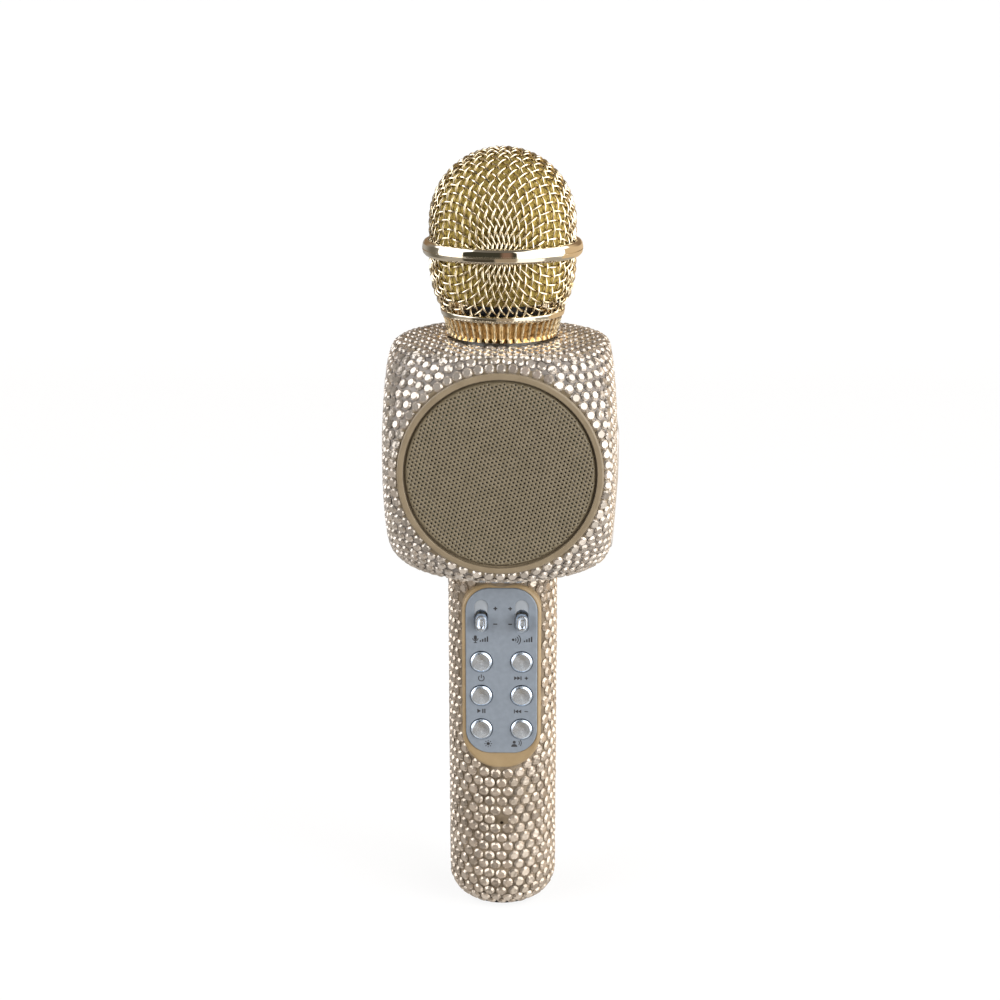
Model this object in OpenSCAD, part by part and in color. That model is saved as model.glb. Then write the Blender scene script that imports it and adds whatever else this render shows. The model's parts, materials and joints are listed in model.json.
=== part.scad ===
// Handheld karaoke microphone with a built-in loudspeaker.
// Millimetres. The origin is the centre of the handle's end face, +Z runs up the handle,
// the control panel faces -Y and the socket panel faces +X.

/* [Handle] */
// Radius over the rhinestones of the handle
grip_r = 17.67; // [17.3:0.01:18.2]
// Rounding at the lower end of the handle
end_round = 9.4; // [8.6:0.1:10]
// Wall of the plastic handle tube
tube_wall = 1.8; // [1.5:0.1:2]
// Thickness of the stones and the sheet that carries them
stone_skin = 1.1; // [0.9:0.05:1.2]

/* [Housing] */
// Height of the housing centre
housing_z = 154.8; // [153.5:0.1:156]
// Half width across the sides
housing_half_w = 37.5; // [37:0.1:39]
// Half width of the housing on the socket side, which is a little flatter
socket_half_w = 36.2; // [36:0.1:37.5]
// Half depth, front to back, over the stones
housing_half_d = 35.7; // [35.5:0.1:36]
// Half height over the stones
housing_half_h = 35.7; // [35.5:0.1:36]
// Radius of the ball that rounds off the corners of the block
corner_ball_r = 48.3; // [48:0.1:48.6]
// Wall of the two housing shells
shell_wall = 2.0; // [1.8:0.1:2.2]

/* [Loudspeaker covers] */
// Outer radius of the bezel ring
bezel_r = 31.1; // [30.9:0.1:31.4]
// Radius of the dark groove between bezel and grille
groove_r = 29.2; // [29.1:0.1:29.4]
// Outer radius of the grille
grille_r = 28.7; // [28.5:0.1:28.8]
// How far the bezel stands out of the stones
bezel_proud = 0.5; // [0.3:0.1:0.8]

/* [Controls] */
// Width of the control plate
plate_w = 22.8; // [22.4:0.1:23]
// Lower edge of the control plate
plate_bottom = 57.1; // [56.9:0.1:57.4]
// Upper edge of the control plate
plate_top = 113.0; // [112.8:0.1:113.4]
// Sideways distance of the two control columns from the middle
column_x = 6.44; // [6.3:0.01:6.6]
// Height of the lowest button row
button_z = 65.4; // [65.2:0.1:65.8]
// Distance between button rows
button_pitch = 11.5; // [11.4:0.1:11.6]
// Radius of a button cap
button_r = 3.4; // [3.2:0.05:3.5]
// Middle of the two slider slots
slider_z = 102.2; // [102:0.1:102.6]

/* [Head] */
// Height of the centre of the dome
dome_z = 226.2; // [225:0.1:227]
// Outer radius of the wire basket
basket_r = 22.84; // [22.6:0.02:22.88]
// Height of the middle of the head ring
ring_z = 218.5; // [218.2:0.1:219]
// Outer radius of the head ring
ring_r = 24.85; // [24.6:0.05:25.2]
// Number of flutes round the collar
flute_count = 48; // [40:2:50]

/* [Hidden] */
$fn = 96;
slip = 0.05;          // gap between parts that touch in the real object
run_gap = 0.1;        // gap round parts that slide
over = 1;             // overlap that makes a cut clean

tube_r = grip_r - stone_skin;
housing_bottom = housing_z - housing_half_h;
housing_top = housing_z + housing_half_h;
side_ball_r = 260;
shell_in = stone_skin;
shell_hollow = stone_skin + shell_wall;
handle_top = housing_bottom - slip;
spigot_r = tube_r - 1.1;
spigot_top = housing_bottom + 5;

bezel_front = housing_half_d + bezel_proud;
shell_front = housing_half_d - shell_in;
opening_r = 29.6;
cup_r = 31.6;
cup_floor = 30.6;
cup_floor_t = 2;
driver_hole_r = 23.4;
driver_flange_r = 28.5;
driver_flange_t = 0.8;
driver_flange_front = cup_floor + slip + driver_flange_t;
driver_screw_r = 26.8;

frame_half_w = plate_w / 2 + 1.2;
frame_bottom = plate_bottom - 5.9;
frame_top = plate_top + 1.2;
frame_front = -16.9;
frame_back = -10.0;
frame_wall = 1.4;
pocket_floor = -16.2;
plate_front = -17.4;
plate_t = pocket_floor - plate_front;
plate_corner = 7.8;
wall_back = -15.0;
board_front = -11.8;
board_t = 1.2;
hole_r = button_r + run_gap;
panel_screw_r = 0.8;
slot_w = 4.1;
slot_l = 7.4;
knob_w = slot_w - 2 * run_gap;
knob_l = 5.5;
row_z = [button_z + 2 * button_pitch, button_z + button_pitch, button_z];

cell_r = 9.25;
cell_y = 3.4;
cell_bottom = 10.6;
cell_l = 65;
holder_wall = 1.2;

end_plate_r = 11.4;
end_hole_r = 10;
pinhole_z = 32.1;
pinhole_r = 0.6;
seam_bottom = 50.1;
seam_w = 0.6;
seam_depth = 0.3;

collar_bottom = 191.2;
collar_top = 197.8;
rim_top = 199.4;
collar_low_r = 16.97;
collar_high_r = 18.9;
rim_r = 19.3;
thread_r = 13.0;
neck_top = 197;
basket_wall = 0.9;
basket_curve_r = 29;
basket_curve_z = 213.2;
ring_half_h = 2.35;
ring_bore_r = basket_r + slip;

socket_panel_half_w = 11;
socket_panel_bottom = 124;
socket_panel_top = 163;
socket_board_x = socket_half_w - 13.4;
socket_front_x = socket_half_w - 1;
jack_z = 131;
charge_z = 140;
usb_z = 149;
card_z = 157.5;
jack_bore_r = 1.8;
jack_nose_r = 3;
lead_r = 1.1;
lead_y = 3.8;
main_board_y = 3;
main_board_bottom = 134;
main_board_top = 176;

plastic = [0.60, 0.53, 0.41];
dark_plastic = [0.10, 0.10, 0.11];
stone = [0.83, 0.77, 0.69];
satin_blue = [0.56, 0.59, 0.65];
chrome_gold = [0.86, 0.74, 0.48];
silver = [0.82, 0.82, 0.83];
board_green = [0.07, 0.27, 0.16];
black_rubber = [0.05, 0.05, 0.05];
foam_yellow = [0.68, 0.58, 0.22];

// ---------- shared shapes ----------

// Flat outline of a rectangle with rounded corners, centred on the origin.
module rounded_outline(w, h, r) {
    square([w - 2 * r, h], center = true);
    square([w, h - 2 * r], center = true);
    for (x = [-1, 1], y = [-1, 1])
        translate([x * (w / 2 - r), y * (h / 2 - r)])
            circle(r);
}

// Flat outline of an upright slot with round ends, centred on the origin.
module slot_outline(w, l) {
    square([w, l - w], center = true);
    for (y = [-1, 1])
        translate([0, y * (l - w) / 2])
            circle(w / 2);
}

// Stands an X-Z outline up so that it fills Y from y_front to y_front + thick.
module upright(y_front, thick) {
    translate([0, y_front + thick, 0])
        rotate([90, 0, 0])
            linear_extrude(thick)
                children();
}

// Turns a part drawn along +Z to look out of the front (-Y) or the back (+Y) of the housing.
module facing(side) {
    translate([0, 0, housing_z])
        rotate([0, 0, side == "front" ? 0 : 180])
            rotate([90, 0, 0])
                children();
}

// Ring between two radii, from z0 to z1.
module ring(r_out, r_in, z0, z1) {
    translate([0, 0, z0])
        difference() {
            cylinder(r = r_out, h = z1 - z0);
            translate([0, 0, -over])
                cylinder(r = r_in, h = z1 - z0 + 2 * over);
        }
}

// Plain cylinder on the Z axis from z0 to z1.
module cylinder_between(r, z0, z1) {
    translate([0, 0, z0])
        cylinder(r = r, h = z1 - z0);
}

// Solid block of the housing, shrunk on every side by inset.
module housing_block(inset) {
    translate([0, 0, housing_z])
        intersection() {
            cube([2 * (housing_half_w + over), 2 * (housing_half_d - inset), 2 * (housing_half_h - inset)],
                center = true);
            sphere(r = corner_ball_r - inset);
            translate([socket_half_w - side_ball_r, 0, 0])
                sphere(r = side_ball_r - inset);
            translate([side_ball_r - housing_half_w, 0, 0])
                sphere(r = side_ball_r - inset);
        }
}

// Half section of the handle's skin, shrunk by inset, up to the height top.
module grip_section(inset, top) {
    intersection() {
        square([grip_r, top]);
        union() {
            translate([0, end_round])
                square([grip_r - inset, top]);
            translate([0, inset])
                square([grip_r - end_round, end_round]);
            translate([grip_r - end_round, end_round])
                circle(end_round - inset);
        }
    }
}

// Outline of the panel surround, shrunk by inset.
module frame_outline(inset) {
    half_w = frame_half_w - inset;
    low = frame_bottom + inset;
    high = frame_top - inset;
    corner = 9 - inset;
    translate([0, low + half_w])
        circle(half_w);
    translate([-half_w, low + half_w])
        square([2 * half_w, high - corner - low - half_w]);
    translate([corner - half_w, high - 2 * corner])
        square([2 * (half_w - corner), 2 * corner]);
    for (x = [-1, 1])
        translate([x * (half_w - corner), high - corner])
            circle(corner);
}

// Puts children at the six button places.
module at_buttons() {
    for (x = [-column_x, column_x], z = row_z)
        translate([x, z])
            children();
}

// Puts children at the two slider places.
module at_sliders() {
    for (x = [-column_x, column_x])
        translate([x, slider_z])
            children();
}

// Puts children at the three posts that carry the control board.
module at_posts() {
    for (z = [59, 83, 108])
        translate([0, z])
            children();
}

// Reset pinhole on the middle of the handle's front.
module pinhole() {
    translate([0, 0, pinhole_z])
        rotate([90, 0, 0])
            cylinder(r = pinhole_r, h = grip_r + over);
}

// ---------- handle ----------

module handle_tube() {
    color(plastic)
        difference() {
            union() {
                rotate_extrude()
                    grip_section(stone_skin, housing_bottom + stone_skin - slip);
                cylinder_between(spigot_r, housing_bottom - 5, spigot_top);
            }
            rotate_extrude()
                grip_section(stone_skin + tube_wall, spigot_top + over);
            translate([0, 0, -over])
                cylinder(r = end_hole_r, h = end_round);
            upright(-grip_r - over, grip_r + over)
                frame_outline(-slip);
            pinhole();
        }
}

module end_plate() {
    screw_clear_r = 1.3;
    color(dark_plastic)
        difference() {
            union() {
                rotate_extrude()
                    intersection() {
                        grip_section(0, end_round);
                        square([end_plate_r, stone_skin - slip]);
                    }
                ring(end_hole_r - slip, end_hole_r - 1.5, stone_skin - 0.3, 4);
                cylinder(r = 4, h = 3);
            }
            translate([0, 0, -over])
                cylinder(r = screw_clear_r, h = 6);
            translate([0, 0, -over])
                cylinder(r = 2.3, h = over + 1.5);
        }
}

module end_screw() {
    color(silver)
        difference() {
            union() {
                translate([0, 0, 0.2])
                    cylinder(r = 2.1, h = 1.3 - slip);
                translate([0, 0, 1])
                    cylinder(r = 1.2, h = 6.5);
            }
            for (turn = [0, 90])
                rotate(turn)
                    translate([0, 0, 0.2])
                        cube([2.4, 0.5, 1.4], center = true);
        }
}

// The seam parts the sheet round the lower grip from the one round the control panel.
module handle_rhinestones() {
    color(stone)
        difference() {
            rotate_extrude()
                difference() {
                    grip_section(0, handle_top);
                    grip_section(stone_skin - slip, handle_top + over);
                    square([end_plate_r + slip, end_round / 2]);
                    translate([grip_r - seam_depth, seam_bottom])
                        square([seam_depth + over, seam_w]);
                }
            upright(-grip_r - over, grip_r + over)
                frame_outline(-slip);
            pinhole();
        }
}

// ---------- control panel ----------

module panel_frame() {
    post_r = 1.6;
    color(plastic) {
        difference() {
            upright(frame_front, frame_back - frame_front)
                frame_outline(0);
            upright(frame_front - over, pocket_floor - frame_front + over)
                translate([0, (plate_bottom + plate_top) / 2])
                    rounded_outline(plate_w + 2 * slip, plate_top - plate_bottom + 2 * slip,
                        plate_corner + slip);
            upright(wall_back, frame_back - wall_back + over)
                frame_outline(frame_wall);
            upright(frame_front, wall_back - frame_front + over)
                at_buttons()
                    circle(hole_r);
            upright(frame_front, wall_back - frame_front + over)
                at_sliders()
                    slot_outline(slot_w, slot_l);
        }
        difference() {
            upright(wall_back - 0.3, board_front - slip - wall_back + 0.3)
                at_posts()
                    circle(post_r);
            upright(wall_back + 0.4, 4)
                at_posts()
                    circle(panel_screw_r + 0.02);
        }
    }
}

module control_plate() {
    scoop_depth = 0.3;
    scoop_w = 4.4;
    scoop_top = slider_z + 6.9;
    scoop_bottom = slider_z - 4;
    color(satin_blue)
        difference() {
            upright(plate_front, plate_t)
                translate([0, (plate_bottom + plate_top) / 2])
                    rounded_outline(plate_w, plate_top - plate_bottom, plate_corner);
            upright(plate_front - over, plate_t + 2 * over)
                at_buttons()
                    circle(hole_r);
            upright(plate_front - over, plate_t + 2 * over)
                at_sliders()
                    slot_outline(slot_w, slot_l);
            upright(plate_front - over, scoop_depth + over)
                for (x = [-column_x, column_x])
                    translate([x, (scoop_top + scoop_bottom) / 2])
                        slot_outline(scoop_w, scoop_top - scoop_bottom);
        }
}

module control_board() {
    color(board_green)
        upright(board_front, board_t)
            difference() {
                translate([0, (frame_bottom + frame_top) / 2])
                    rounded_outline(21.4, 57.2, 10.4);
                at_posts()
                    circle(panel_screw_r + slip);
            }
}

module panel_screws() {
    head_front = board_front + board_t + slip;
    color(silver) {
        upright(head_front, 0.9)
            at_posts()
                circle(1.5);
        upright(head_front - 3.6, 3.8)
            at_posts()
                circle(panel_screw_r);
    }
}

module push_switches() {
    body_w = 6.2;
    body_front = -14.1;
    color(dark_plastic)
        difference() {
            upright(body_front, board_front - slip - body_front)
                at_buttons()
                    square(body_w, center = true);
            upright(body_front - over, over + 1.3)
                at_buttons()
                    circle(1.6 + run_gap);
        }
}

module slide_switches() {
    body_front = -13.8;
    color(silver)
        upright(body_front, board_front - slip - body_front)
            at_sliders()
                square([8, 10], center = true);
}

// One push button: domed cap, retaining flange and the post that works the switch.
module button(x, z) {
    cap_edge = -18.0;
    dome_rise = 0.45;
    dome_r = (button_r * button_r + dome_rise * dome_rise) / (2 * dome_rise);
    flange_back = -14.7;
    post_tip = -13.4;
    color(silver)
        translate([x, 0, z])
            rotate([90, 0, 0])
                union() {
                    intersection() {
                        translate([0, 0, -flange_back])
                            cylinder(r = button_r, h = 5);
                        translate([0, 0, -cap_edge + dome_rise - dome_r])
                            sphere(r = dome_r);
                    }
                    translate([0, 0, -flange_back])
                        cylinder(r = button_r + 0.7, h = flange_back - wall_back - slip);
                    translate([0, 0, -post_tip])
                        cylinder(r = 1.6, h = post_tip - flange_back + 0.5);
                }
}

module power_button() { button(-column_x, row_z[0]); }
module play_button() { button(-column_x, row_z[1]); }
module light_button() { button(-column_x, row_z[2]); }
module next_button() { button(column_x, row_z[0]); }
module previous_button() { button(column_x, row_z[1]); }
module voice_button() { button(column_x, row_z[2]); }

// One slider: rounded knob and the carriage that holds it behind the panel.
module slider(x) {
    knob_front = -20.2;
    carriage_back = -14.0;
    color(silver)
        translate([x, 0, slider_z]) {
            upright(knob_front, carriage_back - knob_front)
                slot_outline(knob_w, knob_l);
            upright(wall_back + slip, carriage_back - wall_back - slip)
                square([6, 9.6], center = true);
        }
}

module volume_slider() { slider(-column_x); }
module echo_slider() { slider(column_x); }

// ---------- battery ----------

module battery_cell() {
    color([0.18, 0.42, 0.62])
        translate([0, cell_y, cell_bottom]) {
            cylinder(r = cell_r, h = cell_l - 1);
            cylinder(r = 3, h = cell_l);
        }
}

module battery_holder() {
    holder_r = cell_r + slip + holder_wall;
    low = cell_bottom - slip - holder_wall;
    high = cell_bottom + cell_l + slip + holder_wall;
    color(dark_plastic)
        difference() {
            union() {
                intersection() {
                    translate([0, cell_y, low])
                        cylinder(r = holder_r, h = high - low);
                    translate([-20, cell_y, low])
                        cube([40, 20, high - low]);
                }
                translate([0, cell_y, low])
                    cylinder(r = holder_r - 2, h = holder_wall);
                translate([0, cell_y, high - holder_wall])
                    cylinder(r = holder_r - 2, h = holder_wall);
                translate([0, 0, 4.2])
                    cylinder(r = 3.6, h = low - 4.2 + holder_wall / 2);
            }
            translate([0, cell_y, cell_bottom - slip])
                cylinder(r = cell_r + slip, h = cell_l + 2 * slip);
            translate([0, 0, 3])
                cylinder(r = 1.2 + 0.02, h = 5);
        }
}

module battery_lead() {
    low = cell_bottom + cell_l + 2 * slip + holder_wall;
    color([0.7, 0.1, 0.08])
        translate([0, lead_y, low])
            cylinder(r = lead_r, h = main_board_bottom - slip - low);
}

// ---------- housing ----------

// Cup behind a loudspeaker opening that the driver sits in.
module driver_cup() {
    ring(cup_r, opening_r, cup_floor - cup_floor_t, shell_front - shell_wall + 0.5);
    ring(cup_r, driver_hole_r, cup_floor - cup_floor_t, cup_floor);
}

// Ribs on the side walls that the main board rests on.
module board_ribs() {
    rib_y = main_board_y + 1.6 + slip;
    rib_inset = shell_hollow + 0.4;
    rib_x = 18;
    for (z = [137, 167])
        translate([rib_inset - housing_half_w, rib_y, z])
            cube([housing_half_w - rib_inset - rib_x, 3, 6]);
    translate([rib_x, rib_y, 167])
        cube([socket_half_w - rib_inset - rib_x, 3, 6]);
}

// Cut-out on the +X side, grown by gap.
module socket_cutout(gap) {
    translate([30, 0, (socket_panel_bottom + socket_panel_top) / 2])
        rotate([0, 90, 0])
            linear_extrude(20)
                rounded_outline(socket_panel_top - socket_panel_bottom + 2 * gap,
                    2 * (socket_panel_half_w + gap), 3);
}

module housing_shell(side) {
    color(plastic)
        difference() {
            union() {
                intersection() {
                    difference() {
                        housing_block(shell_in);
                        housing_block(shell_hollow);
                    }
                    facing(side)
                        translate([-50, -50, 0])
                            cube([100, 100, 50]);
                }
                facing(side)
                    driver_cup();
                if (side == "rear")
                    board_ribs();
            }
            facing(side)
                translate([0, 0, cup_floor])
                    cylinder(r = opening_r, h = 10);
            facing(side)
                for (angle = [45 : 90 : 315])
                    rotate(angle)
                        translate([driver_screw_r, 0, cup_floor - cup_floor_t - over])
                            cylinder(r = 0.82, h = 10, $fn = 24);
            translate([0, 0, housing_bottom])
                cylinder(r = spigot_r + slip, h = 10);
            translate([0, 0, housing_top - 10])
                cylinder(r = thread_r + slip, h = 10);
            socket_cutout(slip);
        }
}

module housing_front() { housing_shell("front"); }
module housing_rear() { housing_shell("rear"); }

module housing_rhinestones() {
    color(stone)
        difference() {
            housing_block(0);
            housing_block(stone_skin - slip);
            for (side = ["front", "rear"])
                facing(side)
                    cylinder(r = bezel_r + slip, h = 50);
            translate([0, 0, housing_bottom - over])
                cylinder(r = tube_r + slip, h = 10);
            translate([0, 0, housing_top - 10])
                cylinder(r = 16.2, h = 20);
            socket_cutout(slip);
        }
}

// Bezel ring with a spigot into the opening and a ledge for the grille.
module bezel(side) {
    spigot_back = 31.0;
    ledge_front = 33.4;
    ledge_back = 32.4;
    color(plastic)
        facing(side) {
            ring(bezel_r, groove_r, shell_front + slip, bezel_front);
            ring(opening_r - slip, grille_r + slip, spigot_back, shell_front + 0.5);
            ring(opening_r - slip, 26.5, ledge_back, ledge_front);
        }
}

module front_bezel() { bezel("front"); }
module rear_bezel() { bezel("rear"); }

// Pan of the grille: a thin face with a turned-back rim that stands on the ledge.
module grille(side) {
    face_front = bezel_front - 0.25;
    face_t = 0.5;
    rim_back = 33.4 + slip;
    color([0.53, 0.47, 0.37])
        facing(side)
            difference() {
                translate([0, 0, rim_back])
                    cylinder(r = grille_r, h = face_front - rim_back);
                translate([0, 0, rim_back - over])
                    cylinder(r = grille_r - face_t, h = face_front - face_t - rim_back + over);
            }
}

module front_grille() { grille("front"); }
module rear_grille() { grille("rear"); }

module light_board() {
    color(board_green)
        facing("front")
            ring(25.6, 22.8, 31.5, 32.2);
}

module light_chips() {
    color([0.95, 0.95, 0.9])
        facing("front")
            for (angle = [15 : 30 : 345])
                rotate(angle)
                    translate([24.2, 0, 32.55])
                        cube([2, 1.8, 0.6], center = true);
}

// ---------- loudspeaker and radiator ----------

module driver_flange() {
    difference() {
        ring(driver_flange_r, 22, cup_floor + slip, driver_flange_front);
        for (angle = [45 : 90 : 315])
            rotate(angle)
                translate([driver_screw_r, 0, cup_floor - over])
                    cylinder(r = 0.95, h = 5, $fn = 24);
    }
}

module speaker_frame() {
    color([0.16, 0.16, 0.17])
        facing("front") {
            driver_flange();
            difference() {
                rotate_extrude()
                    polygon([
                        [22, driver_flange_front], [23.2, driver_flange_front], [23.2, 26], [15, 17.5],
                        [6.4, 17.5], [6.4, 18.7], [14.4, 18.7], [22, 26.5]
                    ]);
                for (angle = [0 : 60 : 300])
                    rotate(angle)
                        translate([18.5, 0, 22])
                            cube([9, 8, 4], center = true);
            }
        }
}

module speaker_magnet() {
    color([0.12, 0.12, 0.13])
        facing("front") {
            ring(14, 5, 9, 17.45);
            translate([0, 0, 7.5])
                cylinder(r = 14, h = 1.5);
        }
}

module speaker_cone() {
    color(black_rubber)
        facing("front")
            rotate_extrude()
                polygon([
                    [5.6, 19], [6.1, 19], [6.1, 23], [19.4, 29.6],
                    [19.4, 30.1], [18.6, 30.1], [5.6, 23.6]
                ]);
}

module speaker_surround() {
    color(black_rubber)
        facing("front")
            rotate_extrude()
                intersection() {
                    translate([20.7, 30])
                        difference() {
                            circle(1.25);
                            circle(0.8);
                        }
                    translate([19.45, 30])
                        square([3, 3]);
                }
}

module speaker_dust_cap() {
    color([0.12, 0.12, 0.12])
        facing("front")
            intersection() {
                translate([0, 0, 15.3])
                    difference() {
                        sphere(r = 11.8);
                        sphere(r = 11.3);
                    }
                translate([0, 0, 24.5])
                    cylinder(r = 8, h = 5);
            }
}

module radiator_frame() {
    color([0.16, 0.16, 0.17])
        facing("rear") {
            driver_flange();
            ring(23.2, 22, 25.5, driver_flange_front);
            ring(23.2, 18.6, 24.3, 25.5);
        }
}

module radiator_surround() {
    color(black_rubber)
        facing("rear")
            rotate_extrude()
                intersection() {
                    translate([19.9, 30])
                        difference() {
                            circle(2);
                            circle(1.5);
                        }
                    translate([17, 30])
                        square([5, 3]);
                }
}

module radiator_disc() {
    color([0.3, 0.3, 0.31])
        facing("rear") {
            translate([0, 0, 28.7])
                cylinder(r = 17.8, h = 1.4);
            translate([0, 0, 25.5])
                cylinder(r = 6, h = 3.3);
        }
}

module driver_screws() {
    color(silver)
        for (side = ["front", "rear"])
            facing(side)
                for (angle = [45 : 90 : 315])
                    rotate(angle)
                        translate([driver_screw_r, 0, 0]) {
                            cylinder_between(0.8, cup_floor - cup_floor_t, driver_flange_front + 0.4);
                            cylinder_between(1.1, driver_flange_front + slip, driver_flange_front + 0.75);
                        }
}

// ---------- head ----------

module neck_ring() {
    bore_r = 11;
    color(silver)
        difference() {
            union() {
                cylinder_between(thread_r, housing_top - stone_skin - shell_wall - slip - 2, neck_top);
                cylinder_between(16, housing_top - stone_skin - shell_wall - slip - 2,
                    housing_top - stone_skin - shell_wall - slip);
            }
            cylinder_between(bore_r, 170, neck_top + over);
        }
}

module capsule_mount() {
    flange_r = 12.5;
    cup_bottom = 206;
    color(dark_plastic)
        difference() {
            union() {
                cylinder_between(flange_r, neck_top + slip, neck_top + 1.2);
                cylinder_between(8, neck_top + slip, 209);
            }
            cylinder_between(7 + slip, cup_bottom, 210);
            translate([0, lead_y, neck_top - over])
                cylinder(r = lead_r + slip, h = 12);
        }
}

module mic_capsule() {
    color([0.75, 0.75, 0.72])
        difference() {
            union() {
                cylinder_between(7, 206 + slip, 213);
                cylinder_between(7.6, 209 + slip, 210);
            }
            for (angle = [0 : 45 : 315])
                rotate(angle)
                    translate([4.2, 0, 212])
                        cylinder(r = 0.8, h = 2);
        }
}

module mic_lead() {
    color([0.1, 0.1, 0.1])
        translate([0, lead_y, main_board_top + slip])
            cylinder(r = lead_r, h = 206 - slip - main_board_top - slip);
}

module foam_windscreen() {
    gap = 1.5;
    foam_bottom = 202.2;
    foam_top = dome_z + basket_r;
    color(foam_yellow)
        difference() {
            rotate_extrude()
                intersection() {
                    union() {
                        dome_section(gap);
                        lower_section(gap);
                    }
                    translate([0, foam_bottom])
                        square([basket_r, foam_top - foam_bottom]);
                }
            cylinder_between(9, foam_bottom - over, 217);
        }
}

// Half section of the dome, shrunk by inset.
module dome_section(inset) {
    intersection() {
        translate([0, dome_z])
            circle(basket_r - inset);
        translate([0, dome_z])
            square([basket_r, basket_r]);
    }
    translate([0, ring_z])
        square([basket_r - inset, dome_z - ring_z]);
}

// Half section of the lower basket, shrunk by inset.
module lower_section(inset) {
    intersection() {
        translate([basket_r - basket_curve_r, basket_curve_z])
            circle(basket_curve_r - inset);
        translate([0, rim_top])
            square([basket_r, basket_curve_z - rim_top]);
    }
    translate([0, basket_curve_z])
        square([basket_r - inset, ring_z - basket_curve_z]);
}

module upper_basket() {
    color(chrome_gold)
        rotate_extrude()
            difference() {
                intersection() {
                    dome_section(0);
                    translate([0, ring_z + slip])
                        square([50, 50]);
                }
                dome_section(basket_wall);
            }
}

module lower_basket() {
    color(chrome_gold)
        rotate_extrude()
            difference() {
                intersection() {
                    lower_section(0);
                    translate([0, rim_top + slip])
                        square([50, ring_z - 2 * slip - rim_top]);
                }
                lower_section(basket_wall);
            }
}

module head_ring() {
    color(chrome_gold)
        rotate_extrude()
            translate([0, ring_z])
                polygon([
                    [ring_bore_r, -ring_half_h], [23.9, -ring_half_h], [24.5, -1.9], [ring_r, -0.9],
                    [ring_r, 0.5], [24.5, 1.6], [23.7, 2.2], [23.3, ring_half_h],
                    [ring_bore_r, ring_half_h]
                ]);
}

module collar() {
    flute_r = 0.9;
    flute_sink = 0.35;
    lean = atan((collar_high_r - collar_low_r) / (collar_top - collar_bottom));
    color(chrome_gold)
        difference() {
            union() {
                translate([0, 0, collar_bottom])
                    cylinder(r1 = collar_low_r, r2 = collar_high_r, h = collar_top - collar_bottom);
                cylinder_between(rim_r, collar_top, rim_top);
            }
            cylinder_between(thread_r + slip, collar_bottom - over, collar_top);
            cylinder_between(15.5, 196.2, rim_top + over);
            for (i = [0 : flute_count - 1])
                rotate(i * 360 / flute_count)
                    translate([collar_low_r + flute_r - flute_sink, 0, collar_bottom])
                        rotate([0, lean, 0])
                            translate([0, 0, 0.8])
                                cylinder(r = flute_r, h = 5.4, $fn = 24);
        }
}

// ---------- boards and sockets ----------

module main_board() {
    color(board_green)
        translate([-20, main_board_y, main_board_bottom])
            cube([40, 1.6, main_board_top - main_board_bottom]);
}

module main_chips() {
    chip_y = main_board_y - slip - 1.2;
    color(dark_plastic) {
        translate([-12, chip_y, 158])
            cube([10, 1.2, 10]);
        translate([4, chip_y, 160])
            cube([7, 1.2, 7]);
        translate([-8, chip_y, 140])
            cube([12, 1.2, 6]);
    }
}

module socket_panel() {
    color([0.62, 0.60, 0.60])
        difference() {
            intersection() {
                socket_cutout(0);
                housing_block(-bezel_proud);
            }
            housing_block(shell_hollow);
            translate([0, 0, jack_z])
                rotate([0, 90, 0])
                    cylinder(r = jack_nose_r + run_gap, h = 50);
            at_socket(charge_z)
                cube([50, 7.6 + 2 * run_gap, 2.7 + 2 * run_gap], center = true);
            at_socket(usb_z)
                cube([50, 13.1 + 2 * run_gap, 5.7 + 2 * run_gap], center = true);
            at_socket(card_z)
                cube([50, 12 + 2 * run_gap, 2 + 2 * run_gap], center = true);
        }
}

// Places a centred box whose low X face is at the socket board.
module at_socket(z) {
    translate([socket_board_x + 25, 0, z])
        children();
}

module socket_board() {
    color(board_green)
        translate([socket_board_x - slip - 1.6, -9.5, 126])
            cube([1.6, 19, 36]);
}

// Metal socket shell of width w and height h with an open mouth and a tongue.
module socket_shell(z, w, h, wall, tongue) {
    depth = socket_front_x - socket_board_x;
    translate([socket_board_x, 0, z]) {
        difference() {
            translate([0, -w / 2, -h / 2])
                cube([depth, w, h]);
            translate([wall, -w / 2 + wall, -h / 2 + wall])
                cube([depth, w - 2 * wall, h - 2 * wall]);
        }
        translate([wall / 2, -w / 2 + 3 * wall, -tongue / 2])
            cube([depth - 2, w - 6 * wall, tongue]);
    }
}

module charge_socket() { color(silver) socket_shell(charge_z, 7.6, 2.7, 0.3, 0.7); }
module usb_socket() { color(silver) socket_shell(usb_z, 13.1, 5.7, 0.4, 1.8); }
module card_socket() { color(silver) socket_shell(card_z, 12, 2, 0.25, 0.4); }

module audio_jack() {
    body_w = 6.8;
    body_depth = 8.6;
    color(dark_plastic)
        difference() {
            union() {
                translate([socket_board_x, -body_w / 2, jack_z - body_w / 2])
                    cube([body_depth, body_w, body_w]);
                translate([socket_board_x, 0, jack_z])
                    rotate([0, 90, 0])
                        cylinder(r = jack_nose_r, h = socket_front_x - socket_board_x);
            }
            translate([socket_board_x + 1, 0, jack_z])
                rotate([0, 90, 0])
                    cylinder(r = jack_bore_r, h = 20);
        }
}

// ---------- what is drawn ----------

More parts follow.
